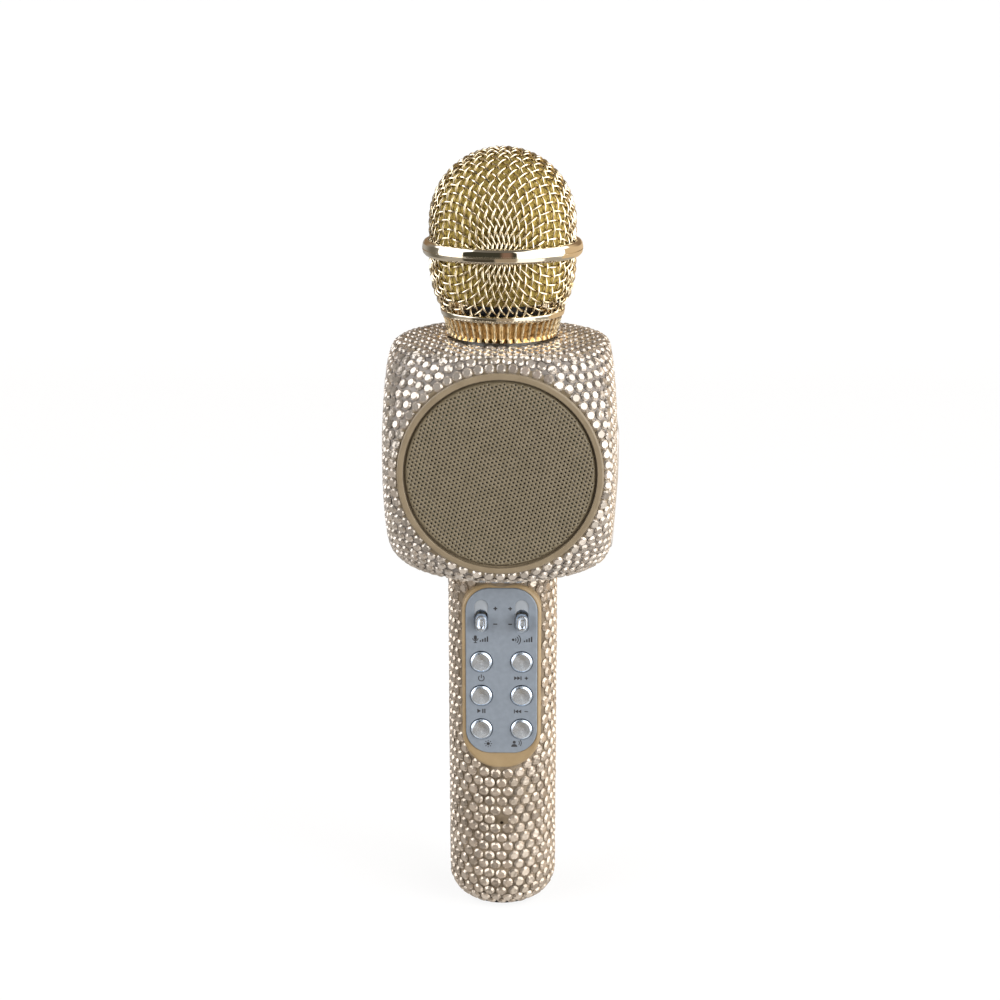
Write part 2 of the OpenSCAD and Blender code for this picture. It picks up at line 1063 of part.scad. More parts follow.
handle_tube();
end_plate();
end_screw();
handle_rhinestones();
panel_frame();
control_plate();
control_board();
panel_screws();
push_switches();
slide_switches();
battery_cell();
battery_holder();
battery_lead();
housing_front();
housing_rear();
housing_rhinestones();
front_bezel();
front_grille();
rear_bezel();
rear_grille();
light_board();
light_chips();
speaker_frame();
speaker_magnet();
speaker_cone();
speaker_surround();
speaker_dust_cap();
radiator_frame();
radiator_surround();
radiator_disc();
driver_screws();
neck_ring();
capsule_mount();
mic_capsule();
mic_lead();
main_board();
main_chips();
socket_panel();
socket_board();
audio_jack();
charge_socket();
usb_socket();
card_socket();
power_button();
play_button();
light_button();
next_button();
previous_button();
voice_button();
volume_slider();
echo_slider();
foam_windscreen();
collar();
lower_basket();
head_ring();
upper_basket();
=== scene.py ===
"""Looks of a rhinestone karaoke microphone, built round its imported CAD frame.

Shapes are worked out in millimetres in the row frame (Z up the handle, -Y out of the control panel)
and scaled to metres when each mesh is made.
"""

import json
import math

import bpy
import numpy as np
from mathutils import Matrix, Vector, noise
from mathutils.geometry import delaunay_2d_cdt
from mathutils.kdtree import KDTree


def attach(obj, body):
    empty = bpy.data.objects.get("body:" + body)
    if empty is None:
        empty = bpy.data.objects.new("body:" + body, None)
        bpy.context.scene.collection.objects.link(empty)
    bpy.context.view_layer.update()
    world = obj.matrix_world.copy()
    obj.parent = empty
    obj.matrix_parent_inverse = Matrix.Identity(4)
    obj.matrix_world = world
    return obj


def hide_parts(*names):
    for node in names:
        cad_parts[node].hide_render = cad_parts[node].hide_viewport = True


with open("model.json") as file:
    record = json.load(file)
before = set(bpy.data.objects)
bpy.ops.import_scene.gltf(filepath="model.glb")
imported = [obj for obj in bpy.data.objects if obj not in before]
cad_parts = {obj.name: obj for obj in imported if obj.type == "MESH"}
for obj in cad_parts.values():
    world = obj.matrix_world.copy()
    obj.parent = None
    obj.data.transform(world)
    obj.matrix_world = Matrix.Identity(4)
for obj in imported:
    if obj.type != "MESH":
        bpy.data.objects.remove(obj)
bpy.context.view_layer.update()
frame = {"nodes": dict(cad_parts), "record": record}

MM = 0.001
BODY = "microphone_body"
HEAD = "head_basket"
FOAM_BODY = "windscreen"
TAU = 2 * math.pi

# sizes in millimetres, the same as in the CAD model
GRIP_R = 17.67
END_ROUND = 9.4
HOUSING_Z = 154.8
HALF_W = 37.5
SOCKET_HALF_W = 36.2
HALF_D = 35.7
HALF_H = 35.7
CORNER_R = 48.3
SIDE_R = 260.0
HOUSING_BOTTOM = HOUSING_Z - HALF_H
BEZEL_R = 31.1
GROOVE_R = 29.2
GRILLE_R = 28.7
BEZEL_FRONT = 36.2
COLUMNS = (-6.44, 6.44)
ROW_Z = (88.4, 76.9, 65.4)
SLIDER_Z = 102.2
PLATE_W = 22.8
PLATE_LOW = 57.1
PLATE_HIGH = 113.0
PLATE_FRONT = -17.4
FRAME_FRONT = -16.9
DOME_Z = 226.2
BASKET_R = 22.84
RING_Z = 218.5
STONE_RISE = 0.78
GRIP_STONE_R = 1.76
BLOCK_STONE_R = 1.58
PINHOLE_Z = 32.1

rng = np.random.default_rng(7)


# ---------------------------------------------------------------- materials


class Graph:
    """Small helper round a node tree."""

    def add(self, kind, **values):
        node = self.tree.nodes.new(kind)
        for key, value in values.items():
            setattr(node, key, value)
        return node

    def link(self, a, b):
        self.tree.links.new(a, b)


class Nodes(Graph):
    """The node tree of a new material with a Principled shader."""

    def __init__(self, name):
        self.material = bpy.data.materials.new(name)
        self.material.use_nodes = True
        self.tree = self.material.node_tree
        self.shader = self.tree.nodes["Principled BSDF"]

    def set(self, **values):
        for key, value in values.items():
            self.shader.inputs[key.replace("_", " ")].default_value = value

    def texture(self, kind, **inputs):
        node = self.add(kind)
        for key, value in inputs.items():
            node.inputs[key].default_value = value
        self.link(self.add("ShaderNodeTexCoord").outputs["Object"], node.inputs["Vector"])
        return node.outputs

    def noise(self, scale, detail=4.0):
        return self.texture("ShaderNodeTexNoise", Scale=scale, Detail=detail)["Fac"]

    def voronoi(self, scale):
        return self.texture("ShaderNodeTexVoronoi", Scale=scale)["Distance"]

    def tone_and_shade(self):
        # Per-vertex attribute: random tone on the stones, painted shade and highlight on the gold.
        return self.add("ShaderNodeAttribute", attribute_name="tone_and_shade").outputs["Fac"]

    def colour(self, source, stops):
        node = self.add("ShaderNodeValToRGB")
        elements = node.color_ramp.elements
        while len(elements) < len(stops):
            elements.new(0.5)
        for element, (place, colour) in zip(elements, stops):
            element.position = place
            element.color = (*colour, 1.0)
        self.link(source, node.inputs["Fac"])
        self.link(node.outputs["Color"], self.shader.inputs["Base Color"])

    def roughness(self, source, low, high):
        node = self.add("ShaderNodeMapRange")
        node.inputs["To Min"].default_value = low
        node.inputs["To Max"].default_value = high
        self.link(source, node.inputs["Value"])
        self.link(node.outputs["Result"], self.shader.inputs["Roughness"])

    def bump(self, height, strength, distance):
        node = self.add("ShaderNodeBump")
        node.inputs["Strength"].default_value = strength
        node.inputs["Distance"].default_value = distance
        self.link(height, node.inputs["Height"])
        self.link(node.outputs["Normal"], self.shader.inputs["Normal"])


def grained(name, dark, light, rough, metallic=0.0, scale=900, depth=0.00003, coat=0.0):
    """A surface with a mottled colour, varying gloss and fine grain."""
    n = Nodes(name)
    n.colour(n.noise(scale * 0.25), [(0.35, dark), (0.65, light)])
    n.roughness(n.noise(scale * 0.1), *rough)
    n.bump(n.noise(scale, 6), 0.5, depth)
    n.set(Metallic=metallic, Coat_Weight=coat)
    return n.material


def rhinestone_material(name, low, high):
    """Foil-backed stone: a tinted half-mirror whose inner facets break up what it reflects."""
    n = Nodes(name)
    n.colour(n.tone_and_shade(), [(0.0, low), (1.0, high)])
    n.bump(n.voronoi(900), 0.16, 0.0004)
    n.roughness(n.noise(500), 0.07, 0.20)
    n.set(Metallic=0.65, Coat_Weight=0.5, Coat_Roughness=0.04)
    return n.material


def radial_metal(name):
    """Turned silver face whose sheen runs round the middle."""
    n = Nodes(name)
    tangent = n.add("ShaderNodeTangent", direction_type="RADIAL", axis="Y")
    n.link(tangent.outputs["Tangent"], n.shader.inputs["Tangent"])
    n.colour(n.noise(1500), [(0.3, (0.69, 0.78, 0.91)), (0.7, (0.75, 0.85, 0.97))])
    n.roughness(n.noise(2500), 0.20, 0.26)
    n.bump(n.noise(4000), 0.12, 0.00001)
    n.set(Metallic=1.0, Anisotropic=0.85)
    return n.material


def foam_material():
    """Yellow open-cell foam, with painted shade in the pits of its cells."""
    n = Nodes("foam")
    cells = n.voronoi(1300)
    # The dark stop, in the pits of the cells, is painted shade.
    n.colour(cells, [(0.0, (0.13, 0.086, 0.014)), (0.35, (0.33, 0.235, 0.052)), (0.8, (0.45, 0.335, 0.092))])
    n.bump(cells, 0.7, 0.0004)
    n.set(Roughness=0.95)
    return n.material


def gold_with_painted_light(name, dark, middle, light, rough):
    """Polished gold with painted shade in its hollows and a brighter, painted-highlight colour on its crests,
    following a per-vertex attribute.
    """
    n = Nodes(name)
    n.colour(n.tone_and_shade(), [(0.22, dark), (0.50, middle), (0.72, light)])
    n.bump(n.noise(700), 0.3, 0.000004)
    n.roughness(n.noise(700), *rough)
    n.set(Metallic=1.0)
    return n.material


def circuit_material():
    """Green board with paler tracks."""
    n = Nodes("circuit_board")
    tracks = n.texture("ShaderNodeTexBrick", Scale=260, Color1=(0.012, 0.075, 0.035, 1),
                       Color2=(0.018, 0.10, 0.05, 1), Mortar=(0.05, 0.22, 0.10, 1))
    n.link(tracks["Color"], n.shader.inputs["Base Color"])
    n.bump(n.noise(1200), 0.3, 0.00002)
    n.set(Roughness=0.35)
    return n.material


stone_warm = rhinestone_material("rhinestone_grip", (0.33, 0.275, 0.220), (0.60, 0.515, 0.430))
stone_pale = rhinestone_material("rhinestone_block", (0.34, 0.300, 0.258), (0.62, 0.556, 0.492))
sheet_grip = grained("stone_sheet_grip", (0.085, 0.062, 0.038), (0.20, 0.155, 0.105), (0.35, 0.6))
sheet_block = grained("stone_sheet_block", (0.115, 0.100, 0.088), (0.235, 0.208, 0.188), (0.35, 0.6))
champagne = grained("champagne_plastic", (0.172, 0.134, 0.086), (0.196, 0.155, 0.101), (0.30, 0.40))
champagne_pale = grained("socket_plate_satin", (0.42, 0.40, 0.38), (0.50, 0.48, 0.46), (0.25, 0.36),
                         metallic=0.4)
tongue_gold = grained("champagne_surround", (0.250, 0.178, 0.095), (0.290, 0.212, 0.118), (0.28, 0.40))
grille_paint = grained("grille_paint", (0.120, 0.097, 0.060), (0.142, 0.115, 0.073), (0.36, 0.5), coat=0.2)
plate_blue = grained("satin_blue_plate", (0.185, 0.213, 0.250), (0.205, 0.236, 0.276), (0.34, 0.44),
                     metallic=0.15, scale=2600, depth=0.00001)
# Paler copy of the plate's blue for the hollows round the slots: painted highlight.
plate_blue_lit_copy = grained("scoop_painted_highlight", (0.27, 0.295, 0.325), (0.30, 0.325, 0.355), (0.34, 0.44), metallic=0.15)
ink = grained("symbol_ink", (0.012, 0.012, 0.014), (0.03, 0.03, 0.034), (0.4, 0.55))
ring_chrome = grained("ring_chrome", (0.84, 0.77, 0.62), (0.90, 0.83, 0.69), (0.03, 0.07), metallic=1.0,
                      scale=300, depth=0.000001)
# Collar gold: the dark stop is painted shade in the flute hollows, the light stop is painted highlight on the
# crests.
collar_gold = gold_with_painted_light("collar_gold", (0.50, 0.30, 0.11), (0.95, 0.70, 0.36), (1.0, 0.90, 0.66),
                            (0.10, 0.16))
# Basket wire: the dark and middle stops are painted shade where a wire dips under another; crests keep the
# wire's pale gold.
wire_metal = gold_with_painted_light("basket_wire", (0.10, 0.070, 0.032), (0.50, 0.38, 0.21), (0.94, 0.83, 0.61),
                           (0.09, 0.18))
steel = grained("steel", (0.42, 0.42, 0.43), (0.56, 0.56, 0.57), (0.25, 0.42), metallic=1.0)
aluminium = grained("capsule_metal", (0.60, 0.60, 0.58), (0.72, 0.72, 0.70), (0.25, 0.4), metallic=1.0)
black_plastic = grained("dark_plastic", (0.012, 0.012, 0.014), (0.028, 0.028, 0.03), (0.45, 0.6))
rubber = grained("surround_rubber", (0.010, 0.010, 0.010), (0.022, 0.022, 0.022), (0.6, 0.75))
paper = grained("speaker_paper", (0.014, 0.014, 0.014), (0.035, 0.034, 0.033), (0.7, 0.85), scale=1500)
ferrite = grained("magnet", (0.03, 0.03, 0.032), (0.06, 0.06, 0.062), (0.5, 0.7), metallic=0.4)
cell_wrap = grained("cell_wrap", (0.03, 0.14, 0.28), (0.05, 0.18, 0.34), (0.2, 0.35), coat=0.3)
lens = grained("light_lens", (0.70, 0.69, 0.62), (0.82, 0.81, 0.76), (0.2, 0.35))
silver = radial_metal("silver_chrome")
foam_look = foam_material()
circuit = circuit_material()

CAD_LOOKS = {
    "champagne_plastic": champagne, "dark_plastic": black_plastic, "rhinestone": stone_warm,
    "satin_blue_plate": plate_blue, "champagne_grille": grille_paint, "gold_chrome": ring_chrome,
    "silver_chrome": silver, "steel": steel, "circuit_board": circuit, "cell_wrap": cell_wrap,
    "magnet": ferrite, "speaker_paper": paper, "surround_rubber": rubber, "foam": foam_look,
    "capsule_metal": aluminium, "lead_rubber": rubber, "light_lens": lens,
}


# ---------------------------------------------------------------- mesh helpers


class Shape:
    """Points, in millimetres, and faces, gathered from several parts."""

    def __init__(self, verts=(), faces=()):
        self.verts = list(verts)
        self.faces = list(faces)

    def add(self, verts, faces):
        start = len(self.verts)
        self.verts.extend([tuple(v) for v in verts])
        self.faces.extend([tuple(i + start for i in f) for f in faces])

    def loops(self, loops, close_first=False, close_last=False, cyclic=False):
        """Skins a list of closed loops that have the same number of points."""
        rings, count, start = len(loops), len(loops[0]), len(self.verts)
        for loop in loops:
            self.verts.extend([tuple(p) for p in loop])
        for k in range(rings if cyclic else rings - 1):
            a, b = start + k * count, start + (k + 1) % rings * count
            for i in range(count):
                j = (i + 1) % count
                self.faces.append((a + i, a + j, b + j, b + i))
        if close_first:
            self.faces.append(tuple(reversed(range(start, start + count))))
        if close_last:
            last = start + (rings - 1) * count
            self.faces.append(tuple(range(last, last + count)))


def make_piece(name, shape, material, body, nodes, crease, tone_and_shade=None):
    """A mesh from a shape, riding on a CAD body and standing for CAD nodes."""
    mesh = bpy.data.meshes.new(name)
    points = (np.asarray(shape.verts, float) * MM).tolist()
    mesh.from_pydata(points, [], [list(map(int, f)) for f in shape.faces])
    # The per-vertex attribute holds random tone for stones and painted shade and highlight for the gold
    # pieces.
    if tone_and_shade is not None:
        layer = mesh.attributes.new("tone_and_shade", "FLOAT", "POINT")
        layer.data.foreach_set("value", np.asarray(tone_and_shade, np.float32))
    mesh.materials.append(material)
    mesh.polygons.foreach_set("use_smooth", [crease > 0] * len(mesh.polygons))
    mesh.update()
    if crease > 0:
        mesh.set_sharp_from_angle(angle=math.radians(crease))
    obj = bpy.data.objects.new(name, mesh)
    bpy.context.scene.collection.objects.link(obj)
    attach(obj, body)
    if nodes:
        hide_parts(*nodes)
    return obj


def fillet(points, radii, steps=5):
    """Rounds the corners of an open path of 2-D points; radii has one value per inner corner."""
    out = [points[0]]
    for before, here, after, r in zip(points, points[1:], points[2:], radii):
        here = np.array(here, float)
        to_before, to_after = np.array(before) - here, np.array(after) - here
        len_b, len_a = np.linalg.norm(to_before), np.linalg.norm(to_after)
        to_before, to_after = to_before / len_b, to_after / len_a
        half = math.acos(float(to_before @ to_after)) / 2
        cut = min(r / math.tan(half), 0.49 * len_b, 0.49 * len_a)
        for s in range(steps + 1):
            t = s / steps
            p = (1 - t) ** 2 * (here + to_before * cut) + 2 * t * (1 - t) * here
            out.append(tuple(p + t * t * (here + to_after * cut)))
    out.append(points[-1])
    return out


def lathe(profile, segments, cyclic=False, ripple=None):
    """Turns a profile of (r, z) points round the Z axis. ripple(angle, index) moves a point outwards."""
    loops = []
    for index, (r, z) in enumerate(profile):
        loop = []
        for s in range(segments):
            angle = TAU * s / segments
            radius = r + (ripple(angle, index) if ripple else 0)
            loop.append((radius * math.cos(angle), radius * math.sin(angle), z))
        loops.append(loop)
    shape = Shape()
    shape.loops(loops, cyclic=cyclic)
    return shape


def close_poles(shape):
    """Joins the points that a profile ending on the axis piles up there, and drops the faces that vanish."""
    poles, new_index, kept = {}, [], []
    for v in shape.verts:
        here = len(kept)
        if math.hypot(v[0], v[1]) < 1e-6:
            here = poles.setdefault(round(v[2], 4), here)
        if here == len(kept):
            kept.append(v)
        new_index.append(here)
    faces = [tuple(dict.fromkeys(new_index[i] for i in f)) for f in shape.faces]
    return Shape(kept, [f for f in faces if len(f) > 2])


def turn_to(side, shape):
    """A shape drawn round +Z at the housing centre, turned so that +Z looks out of the front or the back."""
    x, y, z = np.asarray(shape.verts, float).T
    way = 1 if side == "front" else -1
    return Shape(np.stack([way * x, -way * z, y + HOUSING_Z], 1), shape.faces)


def triangulate(loops):
    """Triangles over the area of closed 2-D loops: their points, their corners and twice their areas."""
    coords, edges = [], []
    for loop in loops:
        start, count = len(coords), len(loop)
        coords.extend([Vector(p) for p in loop])
        edges.extend([(start + i, start + (i + 1) % count) for i in range(count)])
    verts, _, faces, *_ = delaunay_2d_cdt(coords, edges, [], 0, 1e-7)
    flat = np.array([[v.x, v.y] for v in verts])
    tris = np.array([list(f) for f in faces])
    a, b, c = flat[tris[:, 0]], flat[tris[:, 1]], flat[tris[:, 2]]
    area = (b[:, 0] - a[:, 0]) * (c[:, 1] - a[:, 1]) - (b[:, 1] - a[:, 1]) * (c[:, 0] - a[:, 0])
    tris[area < 0] = tris[area < 0][:, ::-1]
    return flat, tris, np.abs(area)


def at_depth(loop, y):
    """Points (x, z) put upright at depth y."""
    return [(x, y, z) for x, z in loop]


def fill(outer, holes, y):
    """Upright flat face between an outer loop and hole loops: its points and triangles."""
    flat, tris, area = triangulate([outer] + holes)
    middle = flat[tris].mean(1)
    keep = inside(middle, outer) & (area > 1e-9)
    for hole in holes:
        keep &= ~inside(middle, hole)
    return at_depth(flat, y), tris[keep]


def inside(points, loop):
    """Which of the 2-D points lie inside the closed loop."""
    loop = np.asarray(loop, float)
    after = np.roll(loop, -1, 0)
    x, y = points[:, 0][:, None], points[:, 1][:, None]
    crosses = (loop[:, 1] > y) != (after[:, 1] > y)
    step = np.where(after[:, 1] == loop[:, 1], 1e-12, after[:, 1] - loop[:, 1])
    at = (after[:, 0] - loop[:, 0]) * (y - loop[:, 1]) / step + loop[:, 0]
    return (crosses & (x < at)).sum(1) % 2 == 1


def arc(cx, cy, r, a0, a1, steps):
    return [(cx + r * math.cos(math.radians(a0 + (a1 - a0) * i / steps)),
             cy + r * math.sin(math.radians(a0 + (a1 - a0) * i / steps))) for i in range(steps + 1)]


def circle_loop(cx, cy, r, steps=40):
    return arc(cx, cy, r, 0, 360 - 360 / steps, steps - 1)


def round_rect(cx, cy, w, h, r, steps=12):
    loop = []
    for a, sx, sy in ((0, 1, 1), (90, -1, 1), (180, -1, -1), (270, 1, -1)):
        loop += arc(cx + sx * (w / 2 - r), cy + sy * (h / 2 - r), r, a, a + 90, steps)
    return loop


def frame_loop(inset, steps=14):
    """Outline of the panel surround, shrunk by inset, as in the CAD model."""
    half_w = PLATE_W / 2 + 1.2 - inset
    low = PLATE_LOW - 5.9 + inset
    high = PLATE_HIGH + 1.2 - inset
    corner = 9 - inset
    loop = arc(half_w - corner, high - corner, corner, 0, 90, steps)
    loop += arc(corner - half_w, high - corner, corner, 90, 180, steps)
    loop += arc(0, low + half_w, half_w, 180, 360, 2 * steps)
    return loop


def slab(outer, holes, front, back, edge, hole_edge):
    """Upright slab with rounded front edges. outer(inset) and each hole(grow) return loops."""
    shape = Shape()
    shape.add(*fill(outer(edge), [hole(hole_edge) for hole in holes], front))
    points, tris = fill(outer(0), [hole(0) for hole in holes], back)
    shape.add(points, tris[:, ::-1])

    def wall(loop, rounding):
        turns = [k * math.pi / 8 for k in range(5)]
        rings = [at_depth(loop(rounding * (1 - math.sin(t))), front + rounding * (1 - math.cos(t)))
                 for t in turns]
        return rings + [at_depth(loop(0), back)]

    shape.loops([ring[::-1] for ring in wall(outer, edge)])
    for hole in holes:
        shape.loops(wall(hole, hole_edge))
    return shape


def tubes(paths, radius, sides=6):
    """Round wires along paths of 3-D points."""
    shape = Shape()
    for path in paths:
        p = np.asarray(path, float)
        along = np.gradient(p, axis=0)
        along /= np.linalg.norm(along, axis=1)[:, None]
        across = np.cross(along[0], (0.3, 0.5, 0.8))
        loops = []
        for point, direction in zip(p, along):
            across = across - (across @ direction) * direction
            across /= np.linalg.norm(across)
            other = np.cross(direction, across)
            loops.append([point + radius * (math.cos(TAU * k / sides) * across
                                            + math.sin(TAU * k / sides) * other) for k in range(sides)])
        shape.loops(loops, close_first=True, close_last=True)
    return shape


# ---------------------------------------------------------------- rhinestones


def stone_pattern():
    """One stone of radius 1 and height 1: round girdle, sixteen crown facets and an eight-sided table."""
    verts = []
    for radius, corners, height in ((1, 16, 0.0), (1, 16, 0.22), (0.68, 8, 1.0)):
        turns = [TAU * k / corners for k in range(corners)]
        verts += [(radius * math.cos(t), radius * math.sin(t), height) for t in turns]
    faces = [tuple(reversed(range(16)))]
    faces += [(k, (k + 1) % 16, 16 + (k + 1) % 16, 16 + k) for k in range(16)]
    for k in range(8):
        a, b = 32 + k, 32 + (k + 1) % 8
        left, mid, right = 16 + 2 * k, 17 + 2 * k, 16 + (2 * k + 2) % 16
        faces += [(left, mid, a), (a, mid, b), (mid, right, b)]
    faces.append(tuple(range(32, 40)))
    return np.array(verts), faces


STONE_VERTS, STONE_FACES = stone_pattern()


def set_stones(name, centres, normals, radius, material, nodes):
    """Puts one faceted stone at every place, each with its own size, turn, tilt and random tone."""
    verts, faces, tone_and_shade = [], [], []
    for centre, normal in zip(centres, normals):
        n = normal + rng.normal(0, 0.035, 3)
        n /= np.linalg.norm(n)
        u = np.cross(n, (0.21, 0.33, 0.92))
        u /= np.linalg.norm(u)
        spin = rng.uniform(0, TAU)
        w = np.cross(n, u)
        u, w = u * math.cos(spin) + w * math.sin(spin), w * math.cos(spin) - u * math.sin(spin)
        size = radius * rng.uniform(0.965, 1.02)
        rise = STONE_RISE * rng.uniform(0.92, 1.0)
        offset = len(verts) * len(STONE_VERTS)
        verts.append(STONE_VERTS @ np.stack([u * size, w * size, n * rise]) + centre)
        faces += [tuple(i + offset for i in f) for f in STONE_FACES]
        tone_and_shade += [float(rng.beta(2.2, 1.6))] * len(STONE_VERTS)
    make_piece(name, Shape(np.concatenate(verts), faces), material, BODY, nodes, 0, tone_and_shade)


def grip_point(s, angle):
    """Point on the handle's stone bed. s is the arc length up from the end rounding's low end."""
    bed = END_ROUND - STONE_RISE
    lean = math.radians(90) - s / END_ROUND
    if lean > 0:
        r = GRIP_R - END_ROUND + bed * math.cos(lean)
        z = END_ROUND - bed * math.sin(lean)
    else:
        r = GRIP_R - STONE_RISE
        z = END_ROUND + (s - END_ROUND * math.radians(90))
    return np.array([r * math.sin(angle), -r * math.cos(angle), z])


def nearest_on_loop(points, loop):
    """For 2-D points, the nearest place on a closed loop and the distance to it."""
    a = np.asarray(loop, float)
    along = np.roll(a, -1, 0) - a
    t = ((points[:, None] - a) * along).sum(2) / np.maximum((along ** 2).sum(1), 1e-12)
    places = a + np.clip(t, 0, 1)[:, :, None] * along
    gaps = np.linalg.norm(points[:, None] - places, axis=2)
    best = gaps.argmin(1)
    rows = np.arange(len(points))
    return places[rows, best], gaps[rows, best]


def tree_of(points):
    tree = KDTree(len(points))
    for i, p in enumerate(points):
        tree.insert(Vector(p), i)
    tree.balance()
    return tree


def ease(points, pitch, place, rounds, movable=None):
    """Pushes neighbours apart until they stand evenly; place puts them back where they may stand."""
    reach = 1.16 * pitch
    chosen = range(len(points)) if movable is None else np.flatnonzero(movable)
    for _ in range(rounds):
        tree = tree_of(points)
        shift = np.zeros_like(points)
        for i in chosen:
            p = points[i]
            for q, j, gap in tree.find_range(Vector(p), reach):
                if j != i:
                    shift[i] += (p - np.array(q)) / max(gap, 1e-6) * (reach - gap) * 0.16
        points = place(points + shift)
    return points


def thinned(points, gap):
    """Leaves out every point closer than gap to one that is kept."""
    kept = []
    for p in points:
        if not kept or np.min(np.linalg.norm(np.array(kept) - p, axis=1)) > gap:
            kept.append(p)
    return np.array(kept)


def fill_voids(points, tries, place, pitch, void):
    """Adds a point wherever a try that may stay put has no neighbour within void pitches."""
    tries = tries[np.linalg.norm(place(tries) - tries, axis=1) < 1e-6]
    tree = tree_of(points)
    gaps = np.array([tree.find(Vector(p))[2] for p in tries])
    fresh = thinned(tries[gaps > void * pitch], 0.85 * pitch)
    return np.concatenate([points, fresh]) if len(fresh) else points


def clear_of_panel(points):
    """Slides stones out from under the panel surround, back on to the round of the handle."""
    p = points.copy()
    bed = GRIP_R - STONE_RISE
    straight = p[:, 2] > END_ROUND
    reach = np.hypot(p[:, 0], p[:, 1])
    p[straight, :2] *= (bed / reach[straight])[:, None]
    margin = GRIP_STONE_R * np.abs(p[:, 1]) / bed + 0.12
    flat = p[:, [0, 2]]
    near, gap = nearest_on_loop(flat, frame_loop(0, 6))
    under = inside(flat, frame_loop(0, 6))
    hit = (p[:, 1] < 0) & straight & (under | (gap < margin))
    way = (flat - near) / np.maximum(gap, 1e-6)[:, None]
    way[under] *= -1
    flat[hit] = near[hit] + way[hit] * margin[hit][:, None]
    p[hit, 0] = np.clip(flat[hit, 0], -bed + 0.01, bed - 0.01)
    p[hit, 2] = flat[hit, 1]
    p[hit, 1] = -np.sqrt(bed ** 2 - p[hit, 0] ** 2)
    p[:, 2] = np.minimum(p[:, 2], HOUSING_BOTTOM - 1.7)
    return p


def handle_stones():
    row_step = 3.16
    first = END_ROUND * math.radians(90 - 51)
    last = END_ROUND * math.radians(90) + (HOUSING_BOTTOM - END_ROUND - 1.75)
    rows = int((last - first) / row_step) + 1
    row_step = (last - first) / (rows - 1)
    centres = []
    for row in range(rows):
        s = first + row * row_step
        r = math.hypot(*grip_point(s, 0)[:2])
        count = 27 if r > 15.2 else round(TAU * (r + STONE_RISE) / 3.66)
        for k in range(count):
            angle = TAU * (k + 0.5 * (row % 2)) / count + rng.normal(0, 0.006)
            centres.append(grip_point(s + rng.normal(0, 0.09), angle))
    centres = np.array(centres)
    deep = (centres[:, 1] < 0) & inside(centres[:, [0, 2]], frame_loop(0.4))
    centres = centres[~deep]
    near_panel = (centres[:, 1] < 4) & (centres[:, 2] > 45)
    fixed, loose = centres[~near_panel], thinned(clear_of_panel(centres[near_panel]), 2.5)
    centres = np.concatenate([fixed, loose])
    bed = GRIP_R - STONE_RISE
    for void, rounds in ((9, 20), (0.78, 14), (0.76, 20)):
        angle = rng.uniform(-1.6, 1.6, 5000)
        tries = np.stack([bed * np.sin(angle), -bed * np.cos(angle),
                          rng.uniform(48, HOUSING_BOTTOM - 1.75, 5000)], 1)
        centres = fill_voids(centres, tries, clear_of_panel, 3.5, void)
        movable = np.arange(len(centres)) >= len(fixed)
        centres = ease(centres, 3.5, clear_of_panel, rounds, movable)
    over_pinhole = np.hypot(centres[:, 0], centres[:, 2] - PINHOLE_Z) + 99 * (centres[:, 1] > 0)
    centres = np.delete(centres, over_pinhole.argmin(), axis=0)
    lean = np.clip((END_ROUND - centres[:, 2]) / (END_ROUND - STONE_RISE), 0, 1)
    out = centres * [1, 1, 0]
    out /= np.linalg.norm(out, axis=1)[:, None]
    normals = out * np.sqrt(1 - lean ** 2)[:, None] - np.array([0, 0, 1]) * lean[:, None]
    return centres, normals


def housing_radius(direction, inset=0.0):
    """Distance from the housing centre to its skin, with softly rounded edges."""
    d = np.abs(direction)
    tiny = 1e-9
    reach = np.where(direction[:, 0] > 0, SOCKET_HALF_W, HALF_W) - SIDE_R
    side = reach * d[:, 0] + np.sqrt((reach * d[:, 0]) ** 2 + (SIDE_R - inset) ** 2 - reach ** 2)
    limits = np.stack([side, (HALF_D - inset) / (d[:, 1] + tiny), (HALF_H - inset) / (d[:, 2] + tiny),
                       np.full(len(d), CORNER_R - inset)])
    sharp = 46
    return (limits ** -sharp).sum(0) ** (-1 / sharp)


def on_housing(points, inset=0.0):
    """Moves points, given from the housing centre, along their ray onto the skin."""
    length = np.linalg.norm(points, axis=1)[:, None]
    direction = points / length
    return direction * housing_radius(direction, inset)[:, None]


def housing_normals(points):
    step = 0.9
    gradient = np.zeros_like(points)
    for axis in range(3):
        for sign in (-1, 1):
            moved = points.copy()
            moved[:, axis] += sign * step
            length = np.linalg.norm(moved, axis=1)
            depth = length - housing_radius(moved / length[:, None])
            gradient[:, axis] += sign * depth
    return gradient / np.linalg.norm(gradient, axis=1)[:, None]


def push_out(points, margin):
    """Moves points out of the bezels, collar, handle and socket panel; margin is the stone's radius."""
    p = points.copy()

    def clear_disc(mask, a, b, radius):
        reach = np.hypot(p[:, a], p[:, b])
        hit = mask & (reach < radius)
        scale = radius / np.maximum(reach[hit], 1e-6)
        p[hit, a] *= scale
        p[hit, b] *= scale

    clear_disc(np.abs(p[:, 1]) > 29, 0, 2, BEZEL_R + margin)
    clear_disc(p[:, 2] > 29, 0, 1, 16.1 + margin)
    clear_disc(p[:, 2] < -29, 0, 1, GRIP_R + margin + 0.1)
    half, low, high = 11 + margin, 124 - HOUSING_Z - margin, 163 - HOUSING_Z + margin
    hit = (p[:, 0] > 20) & (np.abs(p[:, 1]) < half) & (p[:, 2] > low) & (p[:, 2] < high)
    for k in np.flatnonzero(hit):
        gaps = [half - abs(p[k, 1]), p[k, 2] - low, high - p[k, 2]]
        way = int(np.argmin(gaps))
        if way == 0:
            p[k, 1] = math.copysign(half, p[k, 1])
        else:
            p[k, 2] = low if way == 1 else high
    return p


